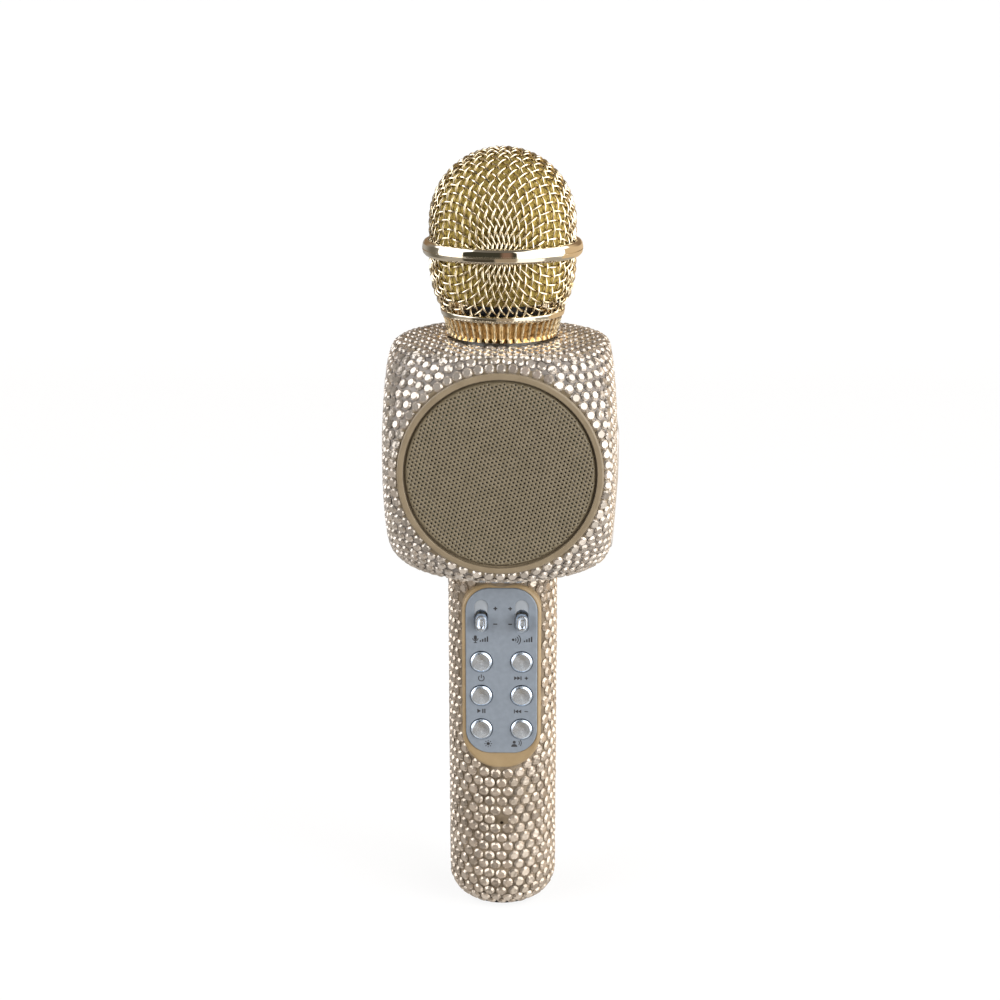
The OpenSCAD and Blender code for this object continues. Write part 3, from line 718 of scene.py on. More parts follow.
def housing_rows(pitch):
    """Rows of places round the block, at even heights, each row half a step on from the last."""
    rows = []
    step = pitch * math.sqrt(3) / 2
    count = int(33.4 / step)
    for k in range(-count, count + 1):
        z = k * step
        angle = np.linspace(0, TAU, 721)[:-1]
        low, high = np.full(720, 5.0), np.full(720, 60.0)
        for _ in range(34):
            reach = (low + high) / 2
            p = np.stack([reach * np.cos(angle), reach * np.sin(angle), np.full(720, z)], 1)
            length = np.linalg.norm(p, axis=1)
            out = length > housing_radius(p / length[:, None])
            high, low = np.where(out, reach, high), np.where(out, low, reach)
        closed = np.vstack([p, p[:1]])
        walked = np.concatenate([[0], np.cumsum(np.linalg.norm(np.diff(closed, axis=0), axis=1))])
        number = 2 * round(walked[-1] / pitch / 2)
        at = (np.arange(number) + 0.5 * (k % 2)) * walked[-1] / number
        rows.append(np.stack([np.interp(at, walked, closed[:, axis]) for axis in range(3)], 1))
    return np.concatenate(rows)


def flat_rows(pitch, z):
    """Hexagonal rows on the top or bottom face."""
    step = pitch * math.sqrt(3) / 2
    places = []
    for j in range(-11, 12):
        for i in range(-11, 12):
            x, y = (i + 0.5 * (j % 2)) * pitch, j * step
            if math.hypot(x, y) < 31.5:
                places.append((x, y, z))
    return np.array(places)


def housing_stones(pitch=3.36):
    """Near-even places over the block: rows first, then gaps filled, then all eased apart on the skin."""
    radius = BLOCK_STONE_R

    def place(points):
        return on_housing(push_out(on_housing(points), radius))

    faces = [flat_rows(pitch, HALF_H), flat_rows(pitch, -HALF_H)]
    rows = on_housing(np.concatenate([housing_rows(pitch)] + faces))
    moved = np.linalg.norm(push_out(rows, radius) - rows, axis=1)
    points = ease(thinned(place(rows[moved < 0.5 * pitch]), 0.72 * pitch), pitch, place, 16)
    for void, rounds in ((0.78, 14), (0.74, 14), (0.72, 16)):
        tries = on_housing(rng.normal(0, 1, (12000, 3)))
        points = ease(fill_voids(points, tries, place, pitch, void), pitch, place, rounds)
    points = thinned(points, 1.66 * radius)
    normals = housing_normals(points)
    return points - normals * STONE_RISE + np.array([0, 0, HOUSING_Z]), normals


def trimmed(points, faces, keep):
    """A sheet with only the faces to keep, and the points that they use."""
    faces = np.array(faces)[keep]
    used = np.zeros(len(points), bool)
    used[faces.ravel()] = True
    return Shape(points[used], (np.cumsum(used) - 1)[faces])


def housing_sheet():
    """The sheet under the housing's stones: a fine skin with its openings trimmed to round edges."""
    steps = 76
    verts, faces, index = [], [], {}

    def vertex(p):
        key = tuple(np.round(p, 6))
        if key not in index:
            index[key] = len(verts)
            verts.append(p)
        return index[key]

    grid = np.tan(np.linspace(-math.pi / 4, math.pi / 4, steps + 1))
    sides = [(axis, sign) for axis in range(3) for sign in (-1, 1)]
    for axis, sign in sides:
        for i, j in np.ndindex(steps, steps):
            corners = []
            for a, b in ((i, j), (i + 1, j), (i + 1, j + 1), (i, j + 1)):
                p = np.roll([sign, grid[a], grid[b]], axis)
                corners.append(vertex(p))
            faces.append(corners[::sign])
    points = on_housing(np.array(verts), STONE_RISE)

    def reach_in(p, where, a, b):
        """How far each point is from the middle of an opening; 99 where the opening isn't."""
        return np.where(where, np.hypot(p[:, a], p[:, b]), 99)

    openings = [
        (lambda p: reach_in(p, np.abs(p[:, 1]) > 25, 0, 2), BEZEL_R - 0.1, (0, 2)),
        (lambda p: reach_in(p, p[:, 2] > 25, 0, 1), 16.3, (0, 1)),
        (lambda p: reach_in(p, p[:, 2] < -25, 0, 1), GRIP_R - 0.9, (0, 1)),
    ]
    middle = points[np.array(faces)].mean(1)
    keep = (middle[:, 0] <= 20) | (np.abs(middle[:, 1]) >= 10.6)
    keep |= (middle[:, 2] <= 124.4 - HOUSING_Z) | (middle[:, 2] >= 162.6 - HOUSING_Z)
    for reach, radius, _ in openings:
        keep &= reach(middle) > radius
    sheet = trimmed(points, faces, keep)
    points = np.array(sheet.verts)
    for reach, radius, axes in openings:
        distance = reach(points)
        near = distance < radius + 0.01
        for axis in axes:
            points[near, axis] *= radius / distance[near]
    return Shape(points + [0, 0, HOUSING_Z], sheet.faces)


def handle_sheet():
    """The sheet under the handle's stones, cut out round the panel surround and the pinhole."""
    columns = 168
    top = END_ROUND * math.radians(90) + HOUSING_BOTTOM - END_ROUND
    levels = np.linspace(END_ROUND * math.radians(16), top, 150)
    points = np.array([grip_point(s, TAU * k / columns) for s in levels for k in range(columns)])
    faces = []
    for i, k in np.ndindex(len(levels) - 1, columns):
        row, j = i * columns, (k + 1) % columns
        faces.append((row + k, row + j, row + columns + j, row + columns + k))
    middle = points[np.array(faces)].mean(1)
    cut = inside(middle[:, [0, 2]], frame_loop(0.5))
    cut |= np.hypot(middle[:, 0], middle[:, 2] - PINHOLE_Z) < 0.95
    return trimmed(points, faces, ~cut | (middle[:, 1] >= 0))


def pinhole_cup():
    """Small collar and dark recess of the reset pinhole."""
    bed = GRIP_R - STONE_RISE
    profile = [(1.75, bed - 0.14), (1.6, bed + 0.04), (0.75, bed + 0.05), (0.55, bed - 0.12), (0.5, bed - 2.5)]
    turns = [-TAU * k / 32 for k in range(32)]
    shape = Shape()
    shape.loops([[(r * math.cos(t), -y, PINHOLE_Z + r * math.sin(t)) for t in turns] for r, y in profile],
                close_last=True)
    return shape


# ---------------------------------------------------------------- woven basket


class Surface:
    """Round cap on a straight tube: a ball or egg of height rise joined to a cylinder, pole up or down."""

    def __init__(self, radius, rise, level, pole):
        self.radius, self.rise, self.level, self.pole = radius, rise, level, pole

    def value(self, p):
        z = (p[2] - self.level) * self.pole
        if z <= 0:
            return math.hypot(p[0], p[1]) / self.radius - 1
        return math.sqrt((p[0] ** 2 + p[1] ** 2) / self.radius ** 2 + (z / self.rise) ** 2) - 1

    def slope(self, p):
        z = max((p[2] - self.level) * self.pole, 0)
        g = np.array([p[0] / self.radius ** 2, p[1] / self.radius ** 2, self.pole * z / self.rise ** 2])
        size = math.sqrt(p[0] ** 2 / self.radius ** 2 + p[1] ** 2 / self.radius ** 2 + (z / self.rise) ** 2)
        return g / max(size, 1e-9)

    def normal(self, p):
        g = self.slope(p)
        return g / np.linalg.norm(g)


def next_crossing(surface, a, b, guess, pitch, plane=None):
    """Point on the surface one pitch from a and from b, or from a within a plane through the axis."""
    p = np.array(guess, float)
    for _ in range(25):
        if plane is None:
            last_row, last_left = 2 * (p - b), (p - b) @ (p - b) - pitch ** 2
        else:
            last_row, last_left = plane, p @ plane
        rows = np.array([surface.slope(p), 2 * (p - a), last_row])
        left = np.array([surface.value(p), (p - a) @ (p - a) - pitch ** 2, last_left])
        step, *_ = np.linalg.lstsq(rows, -left, rcond=1e-4)
        size = np.linalg.norm(step)
        if size > pitch * 0.4:
            step *= pitch * 0.4 / size
        p = p + step
        if size < 1e-7:
            break
    return p


def woven_net(surface, pitch, reach):
    """Crossings of a square wire cloth draped from the pole, its two middle wires at right angles."""
    net = {(0, 0): np.array([0.0, 0.0, surface.level + surface.pole * surface.rise])}
    for arm, (di, dj) in enumerate(((1, 0), (0, 1), (-1, 0), (0, -1))):
        angle = math.radians(45) + arm * math.pi / 2
        heading = np.array([math.cos(angle), math.sin(angle), 0.0])
        plane = np.array([-heading[1], heading[0], 0.0])
        for k in range(1, reach + 1):
            here = net[(di * (k - 1), dj * (k - 1))]
            there = next_crossing(surface, here, None, here + heading * pitch, pitch, plane)
            heading = (there - here) / np.linalg.norm(there - here)
            net[(di * k, dj * k)] = there
    for si, sj in ((1, 1), (1, -1), (-1, 1), (-1, -1)):
        for i, j in np.ndindex(reach, reach):
            a, b, c = net[(si * i, sj * (j + 1))], net[(si * (i + 1), sj * j)], net[(si * i, sj * j)]
            net[(si * (i + 1), sj * (j + 1))] = next_crossing(surface, a, b, a + b - c, pitch)
    return net


def smoothed(points):
    """Three more points between every two, along a curve through them all."""
    ends = [points[0], *points, points[-1]]
    smooth = []
    for before, a, b, after in zip(ends, ends[1:], ends[2:], ends[3:]):
        for t in (0.0, 0.25, 0.5, 0.75):
            smooth.append(0.5 * ((2 * a) + (b - before) * t + (2 * before - 5 * a + 4 * b - after)
                                 * t * t + (3 * a - before - 3 * b + after) * t ** 3))
    return smooth


def basket_wires(surface, pitch, reach, low, high, lift):
    """Paths of the wires, each passing over and under the ones it crosses, kept between two heights."""
    net = woven_net(surface, pitch, reach)
    numbers = range(-reach, reach + 1)
    paths = []
    for family in (0, 1):
        for line in numbers:
            points = []
            for k in numbers:
                p = net[(k, line) if family == 0 else (line, k)]
                over = 1 if (k + line) % 2 == family else -1
                points.append(p + surface.normal(p) * over * lift)
            path = []
            for p in smoothed(points) + [None]:
                if p is not None and low <= p[2] <= high:
                    path.append(p)
                else:
                    paths.append(path)
                    path = []
    return [path for path in paths if len(path) > 2]


def weave_shade(surface, verts, depth):
    """How far each vertex stands out of the weave, 0 at the back of a dip and 1 on a crest, used as painted
    shade in the dips.
    """
    return [min(1.0, max(0.0, 0.5 + surface.value(v) * surface.radius / (2 * depth))) for v in verts]


# ---------------------------------------------------------------- pieces of the head


def build_wires(name, node, surface, low, high, wire_r, lift):
    """One half of the woven basket."""
    shape = tubes(basket_wires(surface, 2.72, 17, low, high, lift), wire_r)
    # The weave depth drives painted shade on the wires.
    make_piece(name, shape, wire_metal, HEAD, [node], 60,
               weave_shade(surface, shape.verts, wire_r + lift))


def build_head():
    wire_r, lift = 0.30, 0.36
    middle_r = BASKET_R - wire_r - lift
    dome = Surface(middle_r, middle_r, DOME_Z, 1)
    bowl = Surface(middle_r, 25.5 - wire_r - lift, 213.2, -1)
    build_wires("dome_wires", "upper_basket", dome, RING_Z + 0.6, 400, wire_r, lift)
    build_wires("bowl_wires", "lower_basket", bowl, 199.0, RING_Z - 0.6, wire_r, lift)
    profile = fillet(
        [(22.9, -2.2), (23.9, -2.35), (24.6, -1.6), (24.86, -0.42), (24.66, -0.26), (24.86, -0.08),
         (24.62, 1.35), (24.1, 2.1), (23.4, 2.35), (22.9, 2.2)],
        [0.3, 0.6, 0.08, 0.06, 0.08, 0.9, 0.6, 0.2])
    shape = lathe([(r, RING_Z + z) for r, z in profile], 160, cyclic=True)
    make_piece("chrome_ring", shape, ring_chrome, HEAD, ["head_ring"], 28)
    build_collar()
    build_foam()


def build_collar():
    """Tapered collar with hollow flutes, and the smooth rim on it."""
    flutes, deep, rows = 48, 0.75, 14
    low, high, low_r, high_r = 191.2, 197.7, 16.97, 18.75
    wall = [(low_r + (high_r - low_r) * k / rows, low + (high - low) * k / rows) for k in range(rows + 1)]
    bore = [(18.0, 197.8), (15.5, 197.7), (15.5, 196.2), (13.05, 196.2), (13.05, 191.3), (13.3, 191.05),
            (16.6, 191.05)]

    def hollow(angle):
        return abs(math.sin(angle * flutes / 2)) ** 0.75

    def ripple(angle, index):
        t = min(1, index / rows)
        return -deep * min(1, 5 * t) * min(1, 6 * (1 - t)) * hollow(angle)

    shape = lathe(wall + bore, flutes * 12, cyclic=True, ripple=ripple)
    # Painted shade in the hollows of the flutes, painted highlight on their crests.
    tone_and_shade = [1 - hollow(math.atan2(y, x)) ** 1.6 for x, y, z in shape.verts]
    make_piece("fluted_collar", shape, collar_gold, HEAD, ["collar"], 40, tone_and_shade)

    rim = fillet([(18.2, 197.55), (18.85, 197.55), (19.12, 197.85), (19.42, 199.25), (19.0, 199.6),
                  (18.2, 199.6)], [0.15, 0.15, 0.35, 0.2])
    make_piece("collar_rim", lathe(rim, 160, cyclic=True), ring_chrome, HEAD, (), 30)


def build_foam():
    """Rough foam filling of the basket, hollow at the bottom for the capsule."""
    radius = BASKET_R - 1.6
    outer = [(9.0, 202.2), (16.2, 202.2), (17.4, 202.6), (18.1, 203.3)]
    outer += [(radius * math.sqrt(1 - ((213.2 - z) / 23.9) ** 2), z) for z in np.linspace(204.2, 213.2, 14)]
    outer += [(radius, z) for z in np.linspace(214.2, DOME_Z, 12)]
    turns = [math.pi / 2 * k / 32 for k in range(1, 33)]
    outer += [(radius * math.cos(a), DOME_Z + radius * math.sin(a)) for a in turns]
    shape = close_poles(lathe(outer + [(0, 217.0), (9.0, 217.0)], 150, cyclic=True))
    for k, v in enumerate(shape.verts):
        p = Vector(v)
        fine = noise.noise(p * 1.1) * 0.16 + noise.noise(p * 0.35) * 0.18
        if math.hypot(v[0], v[1]) > 9.2 or v[2] > 230:
            shape.verts[k] = tuple(p + Vector((v[0], v[1], (v[2] - 214) * 0.8)).normalized() * fine)
    make_piece("foam_ball", shape, foam_look, FOAM_BODY, ["foam_windscreen"], 80)


# ---------------------------------------------------------------- grilles and bezels


def grille_mesh():
    """Perforated face of the grille, drawn round +Z, with its edge rolled back."""
    pitch, hole_r, turn = 1.27, 0.33, math.radians(16)
    centres = []
    for j in range(-30, 31):
        for i in range(-30, 31):
            x, y = (i + 0.5 * (j % 2)) * pitch, j * pitch * math.sqrt(3) / 2
            x, y = x * math.cos(turn) - y * math.sin(turn), x * math.sin(turn) + y * math.cos(turn)
            if math.hypot(x, y) < GRILLE_R - 0.63:
                centres.append((x, y))
    holes = [circle_loop(x, y, hole_r, 8) for x, y in centres]
    flat, tris, _ = triangulate([circle_loop(0, 0, GRILLE_R - 0.25, 200)] + holes)
    tree = tree_of([(x, y, 0) for x, y in centres])
    solid = [tree.find(Vector((x, y, 0)))[2] > hole_r * 0.93 for x, y in flat[tris].mean(1)]
    drop = np.clip(np.hypot(flat[:, 0], flat[:, 1]) - (GRILLE_R - 0.95), 0, None)
    return Shape(np.column_stack([flat, BEZEL_FRONT - 0.25 - drop ** 2]), tris[solid])


def build_speaker_covers():
    """Perforated face, rolled rim and ring with its ledge, in front and at the back."""
    rim = lathe([(GRILLE_R - 0.25, 35.46), (GRILLE_R - 0.05, 35.15), (GRILLE_R, 34.8), (GRILLE_R, 33.45),
                 (GRILLE_R - 0.45, 33.45), (GRILLE_R - 0.45, 35.0)], 200, cyclic=True)
    ring = lathe(fillet([(GROOVE_R, 34.65), (GROOVE_R, BEZEL_FRONT), (BEZEL_R, BEZEL_FRONT), (BEZEL_R, 34.65)],
                        [0.2, 0.9], 7), 200, cyclic=True)
    ledge = lathe([(29.55, 34.7), (29.55, 31.0), (28.75, 31.0), (28.75, 32.4), (26.5, 32.4), (26.5, 33.4),
                   (28.75, 33.4), (28.75, 34.7)], 120, cyclic=True)
    ring.add(ledge.verts, ledge.faces)
    mesh = grille_mesh()
    for side in ("front", "rear"):
        face = make_piece(side + "_grille_face", turn_to(side, mesh), grille_paint, BODY, [side + "_grille"],
                          30)
        thick = face.modifiers.new("thickness", "SOLIDIFY")
        thick.thickness = 0.5 * MM
        thick.offset = -1
        make_piece(side + "_grille_rim", turn_to(side, rim), grille_paint, BODY, (), 35)
        make_piece(side + "_bezel_ring", turn_to(side, ring), champagne, BODY, [side + "_bezel"],
                   40)


# ---------------------------------------------------------------- control panel


def button_hole(x, z):
    return lambda grow: circle_loop(x, z, 3.62 + grow, 48)


def slot_hole(x):
    return lambda grow: round_rect(x, SLIDER_Z, 4.1 + 2 * grow, 7.4 + 2 * grow, 2.049 + grow, 10)


def scoop_hole(x):
    """Shallow hollow round a slider's slot, coloured as a paler copy of the plate's blue: a painted highlight.
    """
    return lambda grow: round_rect(x, SLIDER_Z + 1.45, 4.4 + 2 * grow, 10.9 + 2 * grow, 2.199 + grow, 10)


def plate_outline(inset):
    return round_rect(0, (PLATE_LOW + PLATE_HIGH) / 2, PLATE_W - 2 * inset,
                      PLATE_HIGH - PLATE_LOW - 2 * inset, 7.8 - inset, 16)


def build_surround(holes):
    """Tongue-shaped surround: rounded rim, pocket for the plate, and a floor with the holes through it."""
    floor, back, foot = -16.17, -15.0, -9.9
    outside, within, pocket = frame_loop(0, 16), frame_loop(1.4, 16), plate_outline(-0.15)
    turns = [k * math.pi / 16 for k in range(9)]
    rim = [at_depth(frame_loop(1.1 * (1 - math.sin(t)), 16), FRAME_FRONT + 1.1 * (1 - math.cos(t)))
           for t in turns]
    shape = Shape()
    shape.loops([ring[::-1] for ring in rim + [at_depth(outside, foot)]])
    shape.add(*fill(frame_loop(1.1, 16), [pocket], FRAME_FRONT))
    shape.loops([at_depth(pocket, FRAME_FRONT), at_depth(pocket, floor)])
    shape.add(*fill(pocket, holes, floor))
    points, tris = fill(within, holes, back)
    shape.add(points, tris[:, ::-1])
    for hole in holes:
        shape.loops([at_depth(hole, floor), at_depth(hole, back)])
    shape.loops([at_depth(within, back), at_depth(within, foot)])
    shape.loops([at_depth(within, foot), at_depth(outside, foot)])
    make_piece("panel_surround", shape, tongue_gold, BODY, ["panel_frame"], 32)


def build_panel():
    """Blue plate, its surround and the hollows round the slots."""
    buttons = [button_hole(x, z) for x in COLUMNS for z in ROW_Z]
    shape = slab(plate_outline, buttons + [scoop_hole(x) for x in COLUMNS], PLATE_FRONT, -16.2, 0.3, 0.15)
    make_piece("blue_plate", shape, plate_blue, BODY, ["control_plate"], 30)
    build_surround([hole(0.02) for hole in buttons + [slot_hole(x) for x in COLUMNS]])
    for side, x in zip(("left", "right"), COLUMNS):
        slot = slot_hole(x)(0)
        shape = Shape()
        shape.add(*fill(scoop_hole(x)(0), [slot], PLATE_FRONT + 0.3))
        shape.loops([at_depth(slot, PLATE_FRONT + 0.3), at_depth(slot, -16.2)])
        # The hollow wears the paler copy of the plate's blue as painted highlight.
        make_piece("scoop_" + side, shape, plate_blue_lit_copy, BODY, (), 30)


def build_button(name, x, z):
    """Turned cap with a flange and a slightly hollow face."""
    profile = fillet([(1.6, -13.4), (1.6, -14.7), (4.05, -14.7), (4.05, -14.95), (3.4, -14.95), (3.4, -17.72),
                      (2.75, -18.22), (0.9, -17.98), (0.0, -17.93)],
                     [0.05, 0.05, 0.05, 0.05, 0.18, 0.16, 0.6], 4)
    turned = close_poles(lathe([(0.0, -13.4)] + profile, 72))
    placed = [(a + x, c, b + z) for a, b, c in turned.verts]
    make_piece(name + "_cap_face", Shape(placed, [f[::-1] for f in turned.faces]), silver,
               name + "_button_cap", [name + "_button"], 30)


def build_slider(name, x):
    """Knob with rounded ends and a hollowed front, on its flat carriage."""
    front = -20.2
    levels = [(0, -14.0), (0, front + 0.9), (0.08, front + 0.45), (0.3, front + 0.12), (0.62, front),
              (0.85, front + 0.05), (1.15, front + 0.42), (1.5, front + 0.55)]
    knob = [at_depth(round_rect(x, SLIDER_Z, 3.9 - 2 * inset, 5.5 - 2 * inset, 1.949 - inset, 10), y)
            for inset, y in levels]
    carriage = [at_depth(round_rect(x, SLIDER_Z, 6.0, 9.6, 0.4, 3), y) for y in (-14.0, -14.95)]
    shape = Shape()
    for rings in (knob, carriage):
        shape.loops([ring[::-1] for ring in rings], close_first=True, close_last=True)
    make_piece(name + "_knob_face", shape, silver, name + "_slider_knob", [name + "_slider"],
               35)


def ring_loop(cx, cz, r_out, r_in, a0, a1, steps=18):
    """Part of a flat ring as one closed loop."""
    return arc(cx, cz, r_out, a0, a1, steps) + arc(cx, cz, r_in, a1, a0, steps)


def box_loop(cx, cz, w, h):
    return [(cx + a * w / 2, cz + b * h / 2) for a, b in ((-1, -1), (1, -1), (1, 1), (-1, 1))]


def arrow_loop(cx, cz, w, h):
    """Triangle pointing along +X, or along -X when w is negative."""
    return [(cx - w / 2, cz - h / 2), (cx + w / 2, cz), (cx - w / 2, cz + h / 2)]


def spoke(cx, cz, r0, r1, w, degrees):
    a = math.radians(degrees)
    along, across = np.array([math.cos(a), math.sin(a)]), np.array([-math.sin(a), math.cos(a)])
    corners = ((r0, -w / 2), (r1, -w / 2), (r1, w / 2), (r0, w / 2))
    return [tuple((cx, cz) + along * r + across * s) for r, s in corners]


def level_bars(cx):
    """Four bars, each taller than the last."""
    return [box_loop(cx + 0.75 * k, 95.4 + 0.22 * k, 0.42, 0.5 + 0.44 * k) for k in range(4)]


def plus(cx, cz, size, w):
    return [box_loop(cx, cz, size, w), box_loop(cx, cz, w, size)]


def symbols():
    """Generic symbols beside the controls, each a list of closed loops."""
    left, right = COLUMNS
    microphone = [round_rect(-8.3, 96.5, 0.95, 1.6, 0.47, 6), ring_loop(-8.3, 96.35, 0.98, 0.72, 180, 360),
                  box_loop(-8.3, 95.15, 0.26, 0.5), box_loop(-8.3, 94.85, 1.1, 0.24)]
    echo = [ring_loop(4.0, 95.9, 0.75 + 0.72 * k, 0.47 + 0.72 * k, -48, 48) for k in range(3)]
    following = [arrow_loop(right - 1.9, 82.9, 1.0, 1.3), arrow_loop(right - 0.9, 82.9, 1.0, 1.3),
                 box_loop(right - 0.2, 82.9, 0.3, 1.3)]
    play = [arrow_loop(left - 0.75, 71.6, 1.2, 1.5), box_loop(left + 0.45, 71.6, 0.36, 1.5),
            box_loop(left + 1.1, 71.6, 0.36, 1.5)]
    previous = [box_loop(right - 2.3, 71.5, 0.3, 1.3), arrow_loop(right - 1.6, 71.5, -1.0, 1.3),
                arrow_loop(right - 0.6, 71.5, -1.0, 1.3), box_loop(right + 1.5, 71.5, 1.1, 0.32)]
    lamp = [circle_loop(-4.3, 60.3, 0.55, 18)]
    lamp += [spoke(-4.3, 60.3, 0.8, 1.25, 0.24, angle) for angle in range(0, 360, 45)]
    voice = [circle_loop(4.1, 60.85, 0.5, 18), arc(4.1, 59.25, 1.0, 0, 180, 14)]
    voice += [ring_loop(4.8, 60.6, r + 0.12, r - 0.12, -40, 40, 10) for r in (0.98, 1.58)]
    return [plus(-1.95, 106.3, 1.25, 0.38), plus(2.75, 106.3, 1.25, 0.38),
            [box_loop(-1.95, 101.1, 1.25, 0.36)], [box_loop(2.75, 101.1, 1.25, 0.36)],
            microphone + level_bars(-6.7), echo + [circle_loop(3.7, 95.9, 0.42, 14)] + level_bars(7.3),
            [ring_loop(left, 82.8, 1.05, 0.76, 125, 415, 30), box_loop(left, 83.45, 0.3, 1.25)],
            following + plus(right + 1.5, 82.9, 1.1, 0.32), play, previous, lamp, voice]


def build_symbols():
    shape = Shape()
    for loops in symbols():
        for layer, loop in enumerate(loops):
            shape.add(*fill(loop, [], PLATE_FRONT - 0.02 - 0.001 * layer))
    make_piece("panel_symbols", shape, ink, BODY, (), 0)


# ---------------------------------------------------------------- handle end and socket panel


def build_end():
    """Dark end disc, rounded up to the stones, with its screw hole and its inner collar."""
    profile = fillet([(2.3, 1.0), (2.3, 0.0), (8.27, 0.0)], [0.15], 4)
    for k in range(1, 9):
        lean = math.radians(90 - k * 2.9)
        profile.append((GRIP_R - END_ROUND * (1 - math.cos(lean)), END_ROUND * (1 - math.sin(lean))))
    profile += [(11.55, 1.05), (9.95, 1.05), (9.95, 4.0), (8.5, 4.0), (8.5, 1.05), (4.0, 1.05), (4.0, 3.0),
                (1.3, 3.0), (1.3, 1.0)]
    shape = lathe(profile, 120, cyclic=True)
    make_piece("end_disc", Shape(shape.verts, [f[::-1] for f in shape.faces]), black_plastic, BODY,
               ["end_plate"], 30)


def build_socket_panel():
    """Side plate that follows the curve of the housing, with openings for the sockets."""
    half_y, low, high = 11.0, 124.0, 163.0

    def outline(inset):
        return round_rect(0, (low + high) / 2, 2 * (half_y - inset), high - low - 2 * inset, 3 - inset, 8)

    def slot(z, w, h, r):
        return lambda grow: round_rect(0, z, w + 2 * grow, h + 2 * grow, r + grow, 5)

    holes = [slot(140, 7.8, 2.9, 0.8), slot(149, 13.3, 5.9, 0.3), slot(157.5, 12.2, 2.2, 0.3),
             lambda grow: circle_loop(0, 131, 3.12 + grow, 24)]
    flat = slab(outline, holes, 0.0, 3.0, 0.7, 0.25)
    placed = []
    for across, depth, z in flat.verts:
        surface = SOCKET_HALF_W + 0.5 - ((z - HOUSING_Z) ** 2 + across ** 2) / (2 * SIDE_R)
        placed.append((surface - depth, across, z))
    make_piece("socket_plate", Shape(placed, flat.faces), champagne_pale, BODY, ["socket_panel"],
               30)


# ---------------------------------------------------------------- build everything


def dress_cad_nodes():
    slots = {row["node"]: row["material_slot"] for row in frame["record"]["subparts"]}
    for name, obj in frame["nodes"].items():
        obj.data.materials.clear()
        obj.data.materials.append(CAD_LOOKS[slots[name]])


def build_stones():
    """All the stones, the sheets that carry them and the pinhole in the handle."""
    set_stones("grip_stones", *handle_stones(), GRIP_STONE_R, stone_warm, ["handle_rhinestones"])
    make_piece("grip_sheet", handle_sheet(), sheet_grip, BODY, (), 80)
    make_piece("pinhole_recess", pinhole_cup(), sheet_grip, BODY, (), 40)
    set_stones("block_stones", *housing_stones(), BLOCK_STONE_R, stone_pale, ["housing_rhinestones"])
    make_piece("block_sheet", housing_sheet(), sheet_block, BODY, (), 80)


def build_stage():
    """White sweep that only the camera and shadows use; mirrors see the studio in the world instead."""
    n = Nodes("studio_floor")
    n.set(Roughness=0.9)
    n.colour(n.noise(3), [(0.3, (0.90, 0.90, 0.90)), (0.7, (0.92, 0.92, 0.92))])
    glow = n.add("ShaderNodeEmission")
    mix = n.add("ShaderNodeMixShader")
    mix.inputs["Fac"].default_value = 0.86
    n.link(n.shader.outputs["BSDF"], mix.inputs[1])
    n.link(glow.outputs["Emission"], mix.inputs[2])
    n.link(mix.outputs["Shader"], n.tree.nodes["Material Output"].inputs["Surface"])
    bend = np.linspace(0.06, math.pi / 2, 24)
    profile = [(-0.9, 0.0), (0.8, 0.0)] + [(0.8 + 0.6 * math.sin(t), 0.6 - 0.6 * math.cos(t)) for t in bend]
    profile.append((1.4, 2.2))
    verts = [(x, y, z) for y, z in profile for x in (-2.5, 2.5)]
    faces = [(2 * k, 2 * k + 1, 2 * k + 3, 2 * k + 2) for k in range(len(profile) - 1)]
    mesh = bpy.data.meshes.new("studio_sweep")
    mesh.from_pydata(verts, [], faces)
    mesh.materials.append(n.material)
    mesh.polygons.foreach_set("use_smooth", [True] * len(mesh.polygons))
    sweep = bpy.data.objects.new("studio_sweep", mesh)
    sweep.location.z = -0.0001
    bpy.context.scene.collection.objects.link(sweep)
    sweep.visible_glossy = False
    sweep.visible_diffuse = False


class Sky(Graph):
    """Studio surroundings drawn by direction: soft boxes, a dark front and a bright near floor."""

    def __init__(self):
        world = bpy.data.worlds.new("studio")
        bpy.context.scene.world = world
        world.use_nodes = True
        self.tree = world.node_tree
        self.tree.nodes.clear()
        colour = self.add("ShaderNodeRGB").outputs[0]
        colour.default_value = (0.42, 0.40, 0.38, 1)
        self.light = colour

    def math(self, operation, *values):
        node = self.add("ShaderNodeMath", operation=operation)
        for socket, value in zip(node.inputs, values):
            if isinstance(value, (int, float)):
                socket.default_value = value
            else:
                self.link(value, socket)
        return node.outputs[0]

    def above(self, value, edge, soft):
        """0 below edge, 1 above it, changing over soft."""
        node = self.add("ShaderNodeMapRange", interpolation_type="SMOOTHSTEP")
        node.inputs["From Min"].default_value = edge - soft / 2
        node.inputs["From Max"].default_value = edge + soft / 2
        self.link(value, node.inputs["Value"])
        return node.outputs["Result"]

    def below(self, value, edge, soft):
        return self.math("SUBTRACT", 1.0, self.above(value, edge, soft))

    def band(self, value, low, high, soft):
        return self.math("MULTIPLY", self.above(value, low, soft), self.below(value, high, soft))

    def paint(self, colour, *masks):
        """Paints colour over what is there, where all the masks allow."""
        mask = masks[0]
        for other in masks[1:]:
            mask = self.math("MULTIPLY", mask, other)
        node = self.add("ShaderNodeMix", data_type="RGBA")
        self.link(mask, node.inputs[0])
        self.link(self.light, node.inputs[6])
        node.inputs[7].default_value = (*colour, 1)
        self.light = node.outputs[2]


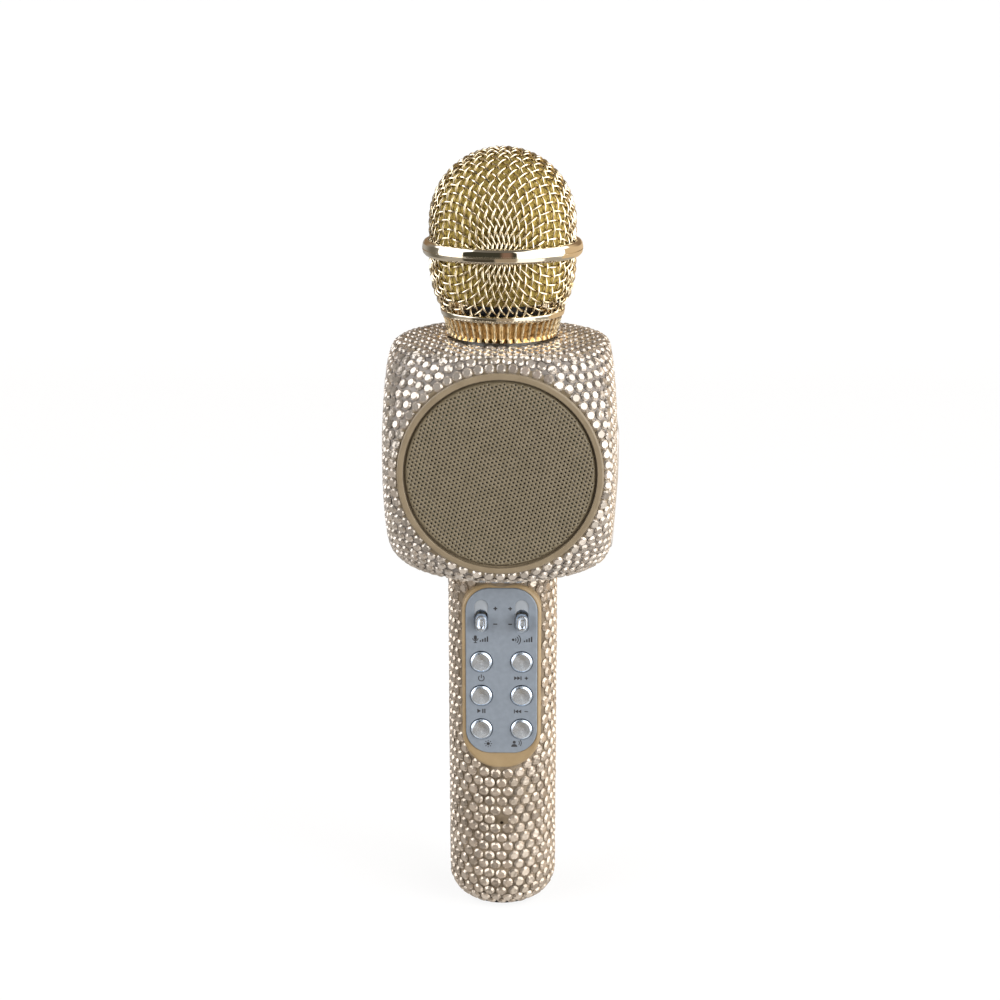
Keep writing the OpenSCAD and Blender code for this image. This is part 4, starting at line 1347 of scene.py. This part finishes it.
def build_world():
    sky = Sky()
    parts = sky.add("ShaderNodeSeparateXYZ")
    sky.link(sky.add("ShaderNodeTexCoord").outputs["Generated"], parts.inputs[0])
    x, y, z = parts.outputs
    azimuth = sky.math("MULTIPLY", sky.math("ARCTAN2", x, sky.math("MULTIPLY", y, -1.0)), 180 / math.pi)
    height = sky.math("MULTIPLY", sky.math("ARCSINE", z), 180 / math.pi)
    cool_lamp, warm_lamp = (3.0, 3.0, 3.05), (3.0, 2.97, 2.92)
    middle = sky.band(height, 27, 54, 8)
    low = sky.band(height, -56, -26, 6)

    sky.paint((0.74, 0.55, 0.35), sky.above(azimuth, 101, 4))
    sky.paint((0.16, 0.145, 0.12), sky.band(azimuth, -135, -101, 30))
    aside = sky.math("ABSOLUTE", azimuth)
    sky.paint((0.27, 0.18, 0.105), sky.band(height, 2, 50, 10), sky.above(aside, 138, 24))
    sky.paint((0.17, 0.155, 0.14), sky.above(height, 54, 12))
    sky.paint((0.050, 0.048, 0.036), sky.band(azimuth, -58, 22, 3), sky.band(height, -6, 52, 10))
    sky.paint((0.26, 0.16, 0.12), sky.band(azimuth, 0, 14, 8), sky.band(height, -2, 40, 12))
    sky.paint(cool_lamp, sky.band(azimuth, -102, -58, 3), sky.band(height, -9, 54, 8))
    sky.paint(warm_lamp, sky.band(azimuth, 22, 100, 3), sky.band(height, -20, 54, 10))
    sky.paint(cool_lamp, sky.band(azimuth, -126, -60, 6), middle)
    sky.paint(warm_lamp, sky.band(azimuth, 24, 124, 6), middle)
    sky.paint((0.60, 0.535, 0.47), sky.band(azimuth, -75, 30, 14), sky.band(height, -27, -7, 6))
    sky.paint((0.45, 0.41, 0.36), low)
    sky.paint((0.07, 0.06, 0.045), low, sky.band(azimuth, -62, -10, 6))
    sky.paint((0.40, 0.32, 0.24), low, sky.band(azimuth, -10, 22, 6))
    sky.paint((1.5, 1.47, 1.40), low, sky.band(azimuth, 24, 68, 5))
    sky.paint((0.95, 0.91, 0.86), sky.below(height, -55, 8))
    sky.paint((1, 1, 1), sky.add("ShaderNodeLightPath").outputs["Is Camera Ray"])

    background = sky.add("ShaderNodeBackground")
    sky.link(sky.light, background.inputs["Color"])
    out = sky.add("ShaderNodeOutputWorld")
    sky.link(background.outputs["Background"], out.inputs["Surface"])


def add_softbox(name, place, aim, size, power):
    light = bpy.data.lights.new(name, "AREA")
    light.shape = "RECTANGLE"
    light.size, light.size_y = size
    light.energy = power
    obj = bpy.data.objects.new(name, light)
    obj.location = place
    obj.rotation_euler = (Vector(aim) - Vector(place)).to_track_quat("-Z", "Y").to_euler()
    bpy.context.scene.collection.objects.link(obj)
    obj.visible_glossy = False


def build_camera():
    swing = math.radians(1.27)
    distance = 0.57825
    data = bpy.data.cameras.new("camera")
    data.lens = 67.51
    data.sensor_width = 36
    data.shift_x = -0.0027
    data.clip_start = 0.01
    camera = bpy.data.objects.new("camera", data)
    camera.location = (distance * math.sin(swing), -distance * math.cos(swing), 0.29989)
    camera.rotation_euler = (math.radians(90 - 15.727), 0, swing)
    bpy.context.scene.collection.objects.link(camera)
    bpy.context.scene.camera = camera


dress_cad_nodes()
build_stones()
build_head()
build_speaker_covers()
build_panel()
for column, names in zip(COLUMNS, (("power", "play", "light"), ("next", "previous", "voice"))):
    for row, button in zip(ROW_Z, names):
        build_button(button, column, row)
build_slider("volume", COLUMNS[0])
build_slider("echo", COLUMNS[1])
build_symbols()
build_end()
build_socket_panel()
build_stage()
build_world()
add_softbox("key_left", (-0.75, -0.62, 0.36), (0, 0, 0.13), (0.5, 0.5), 7)
add_softbox("key_right", (0.85, -0.5, 0.32), (0, 0, 0.13), (0.5, 0.5), 7)
build_camera()
bpy.context.scene.view_settings.view_transform = "Standard"
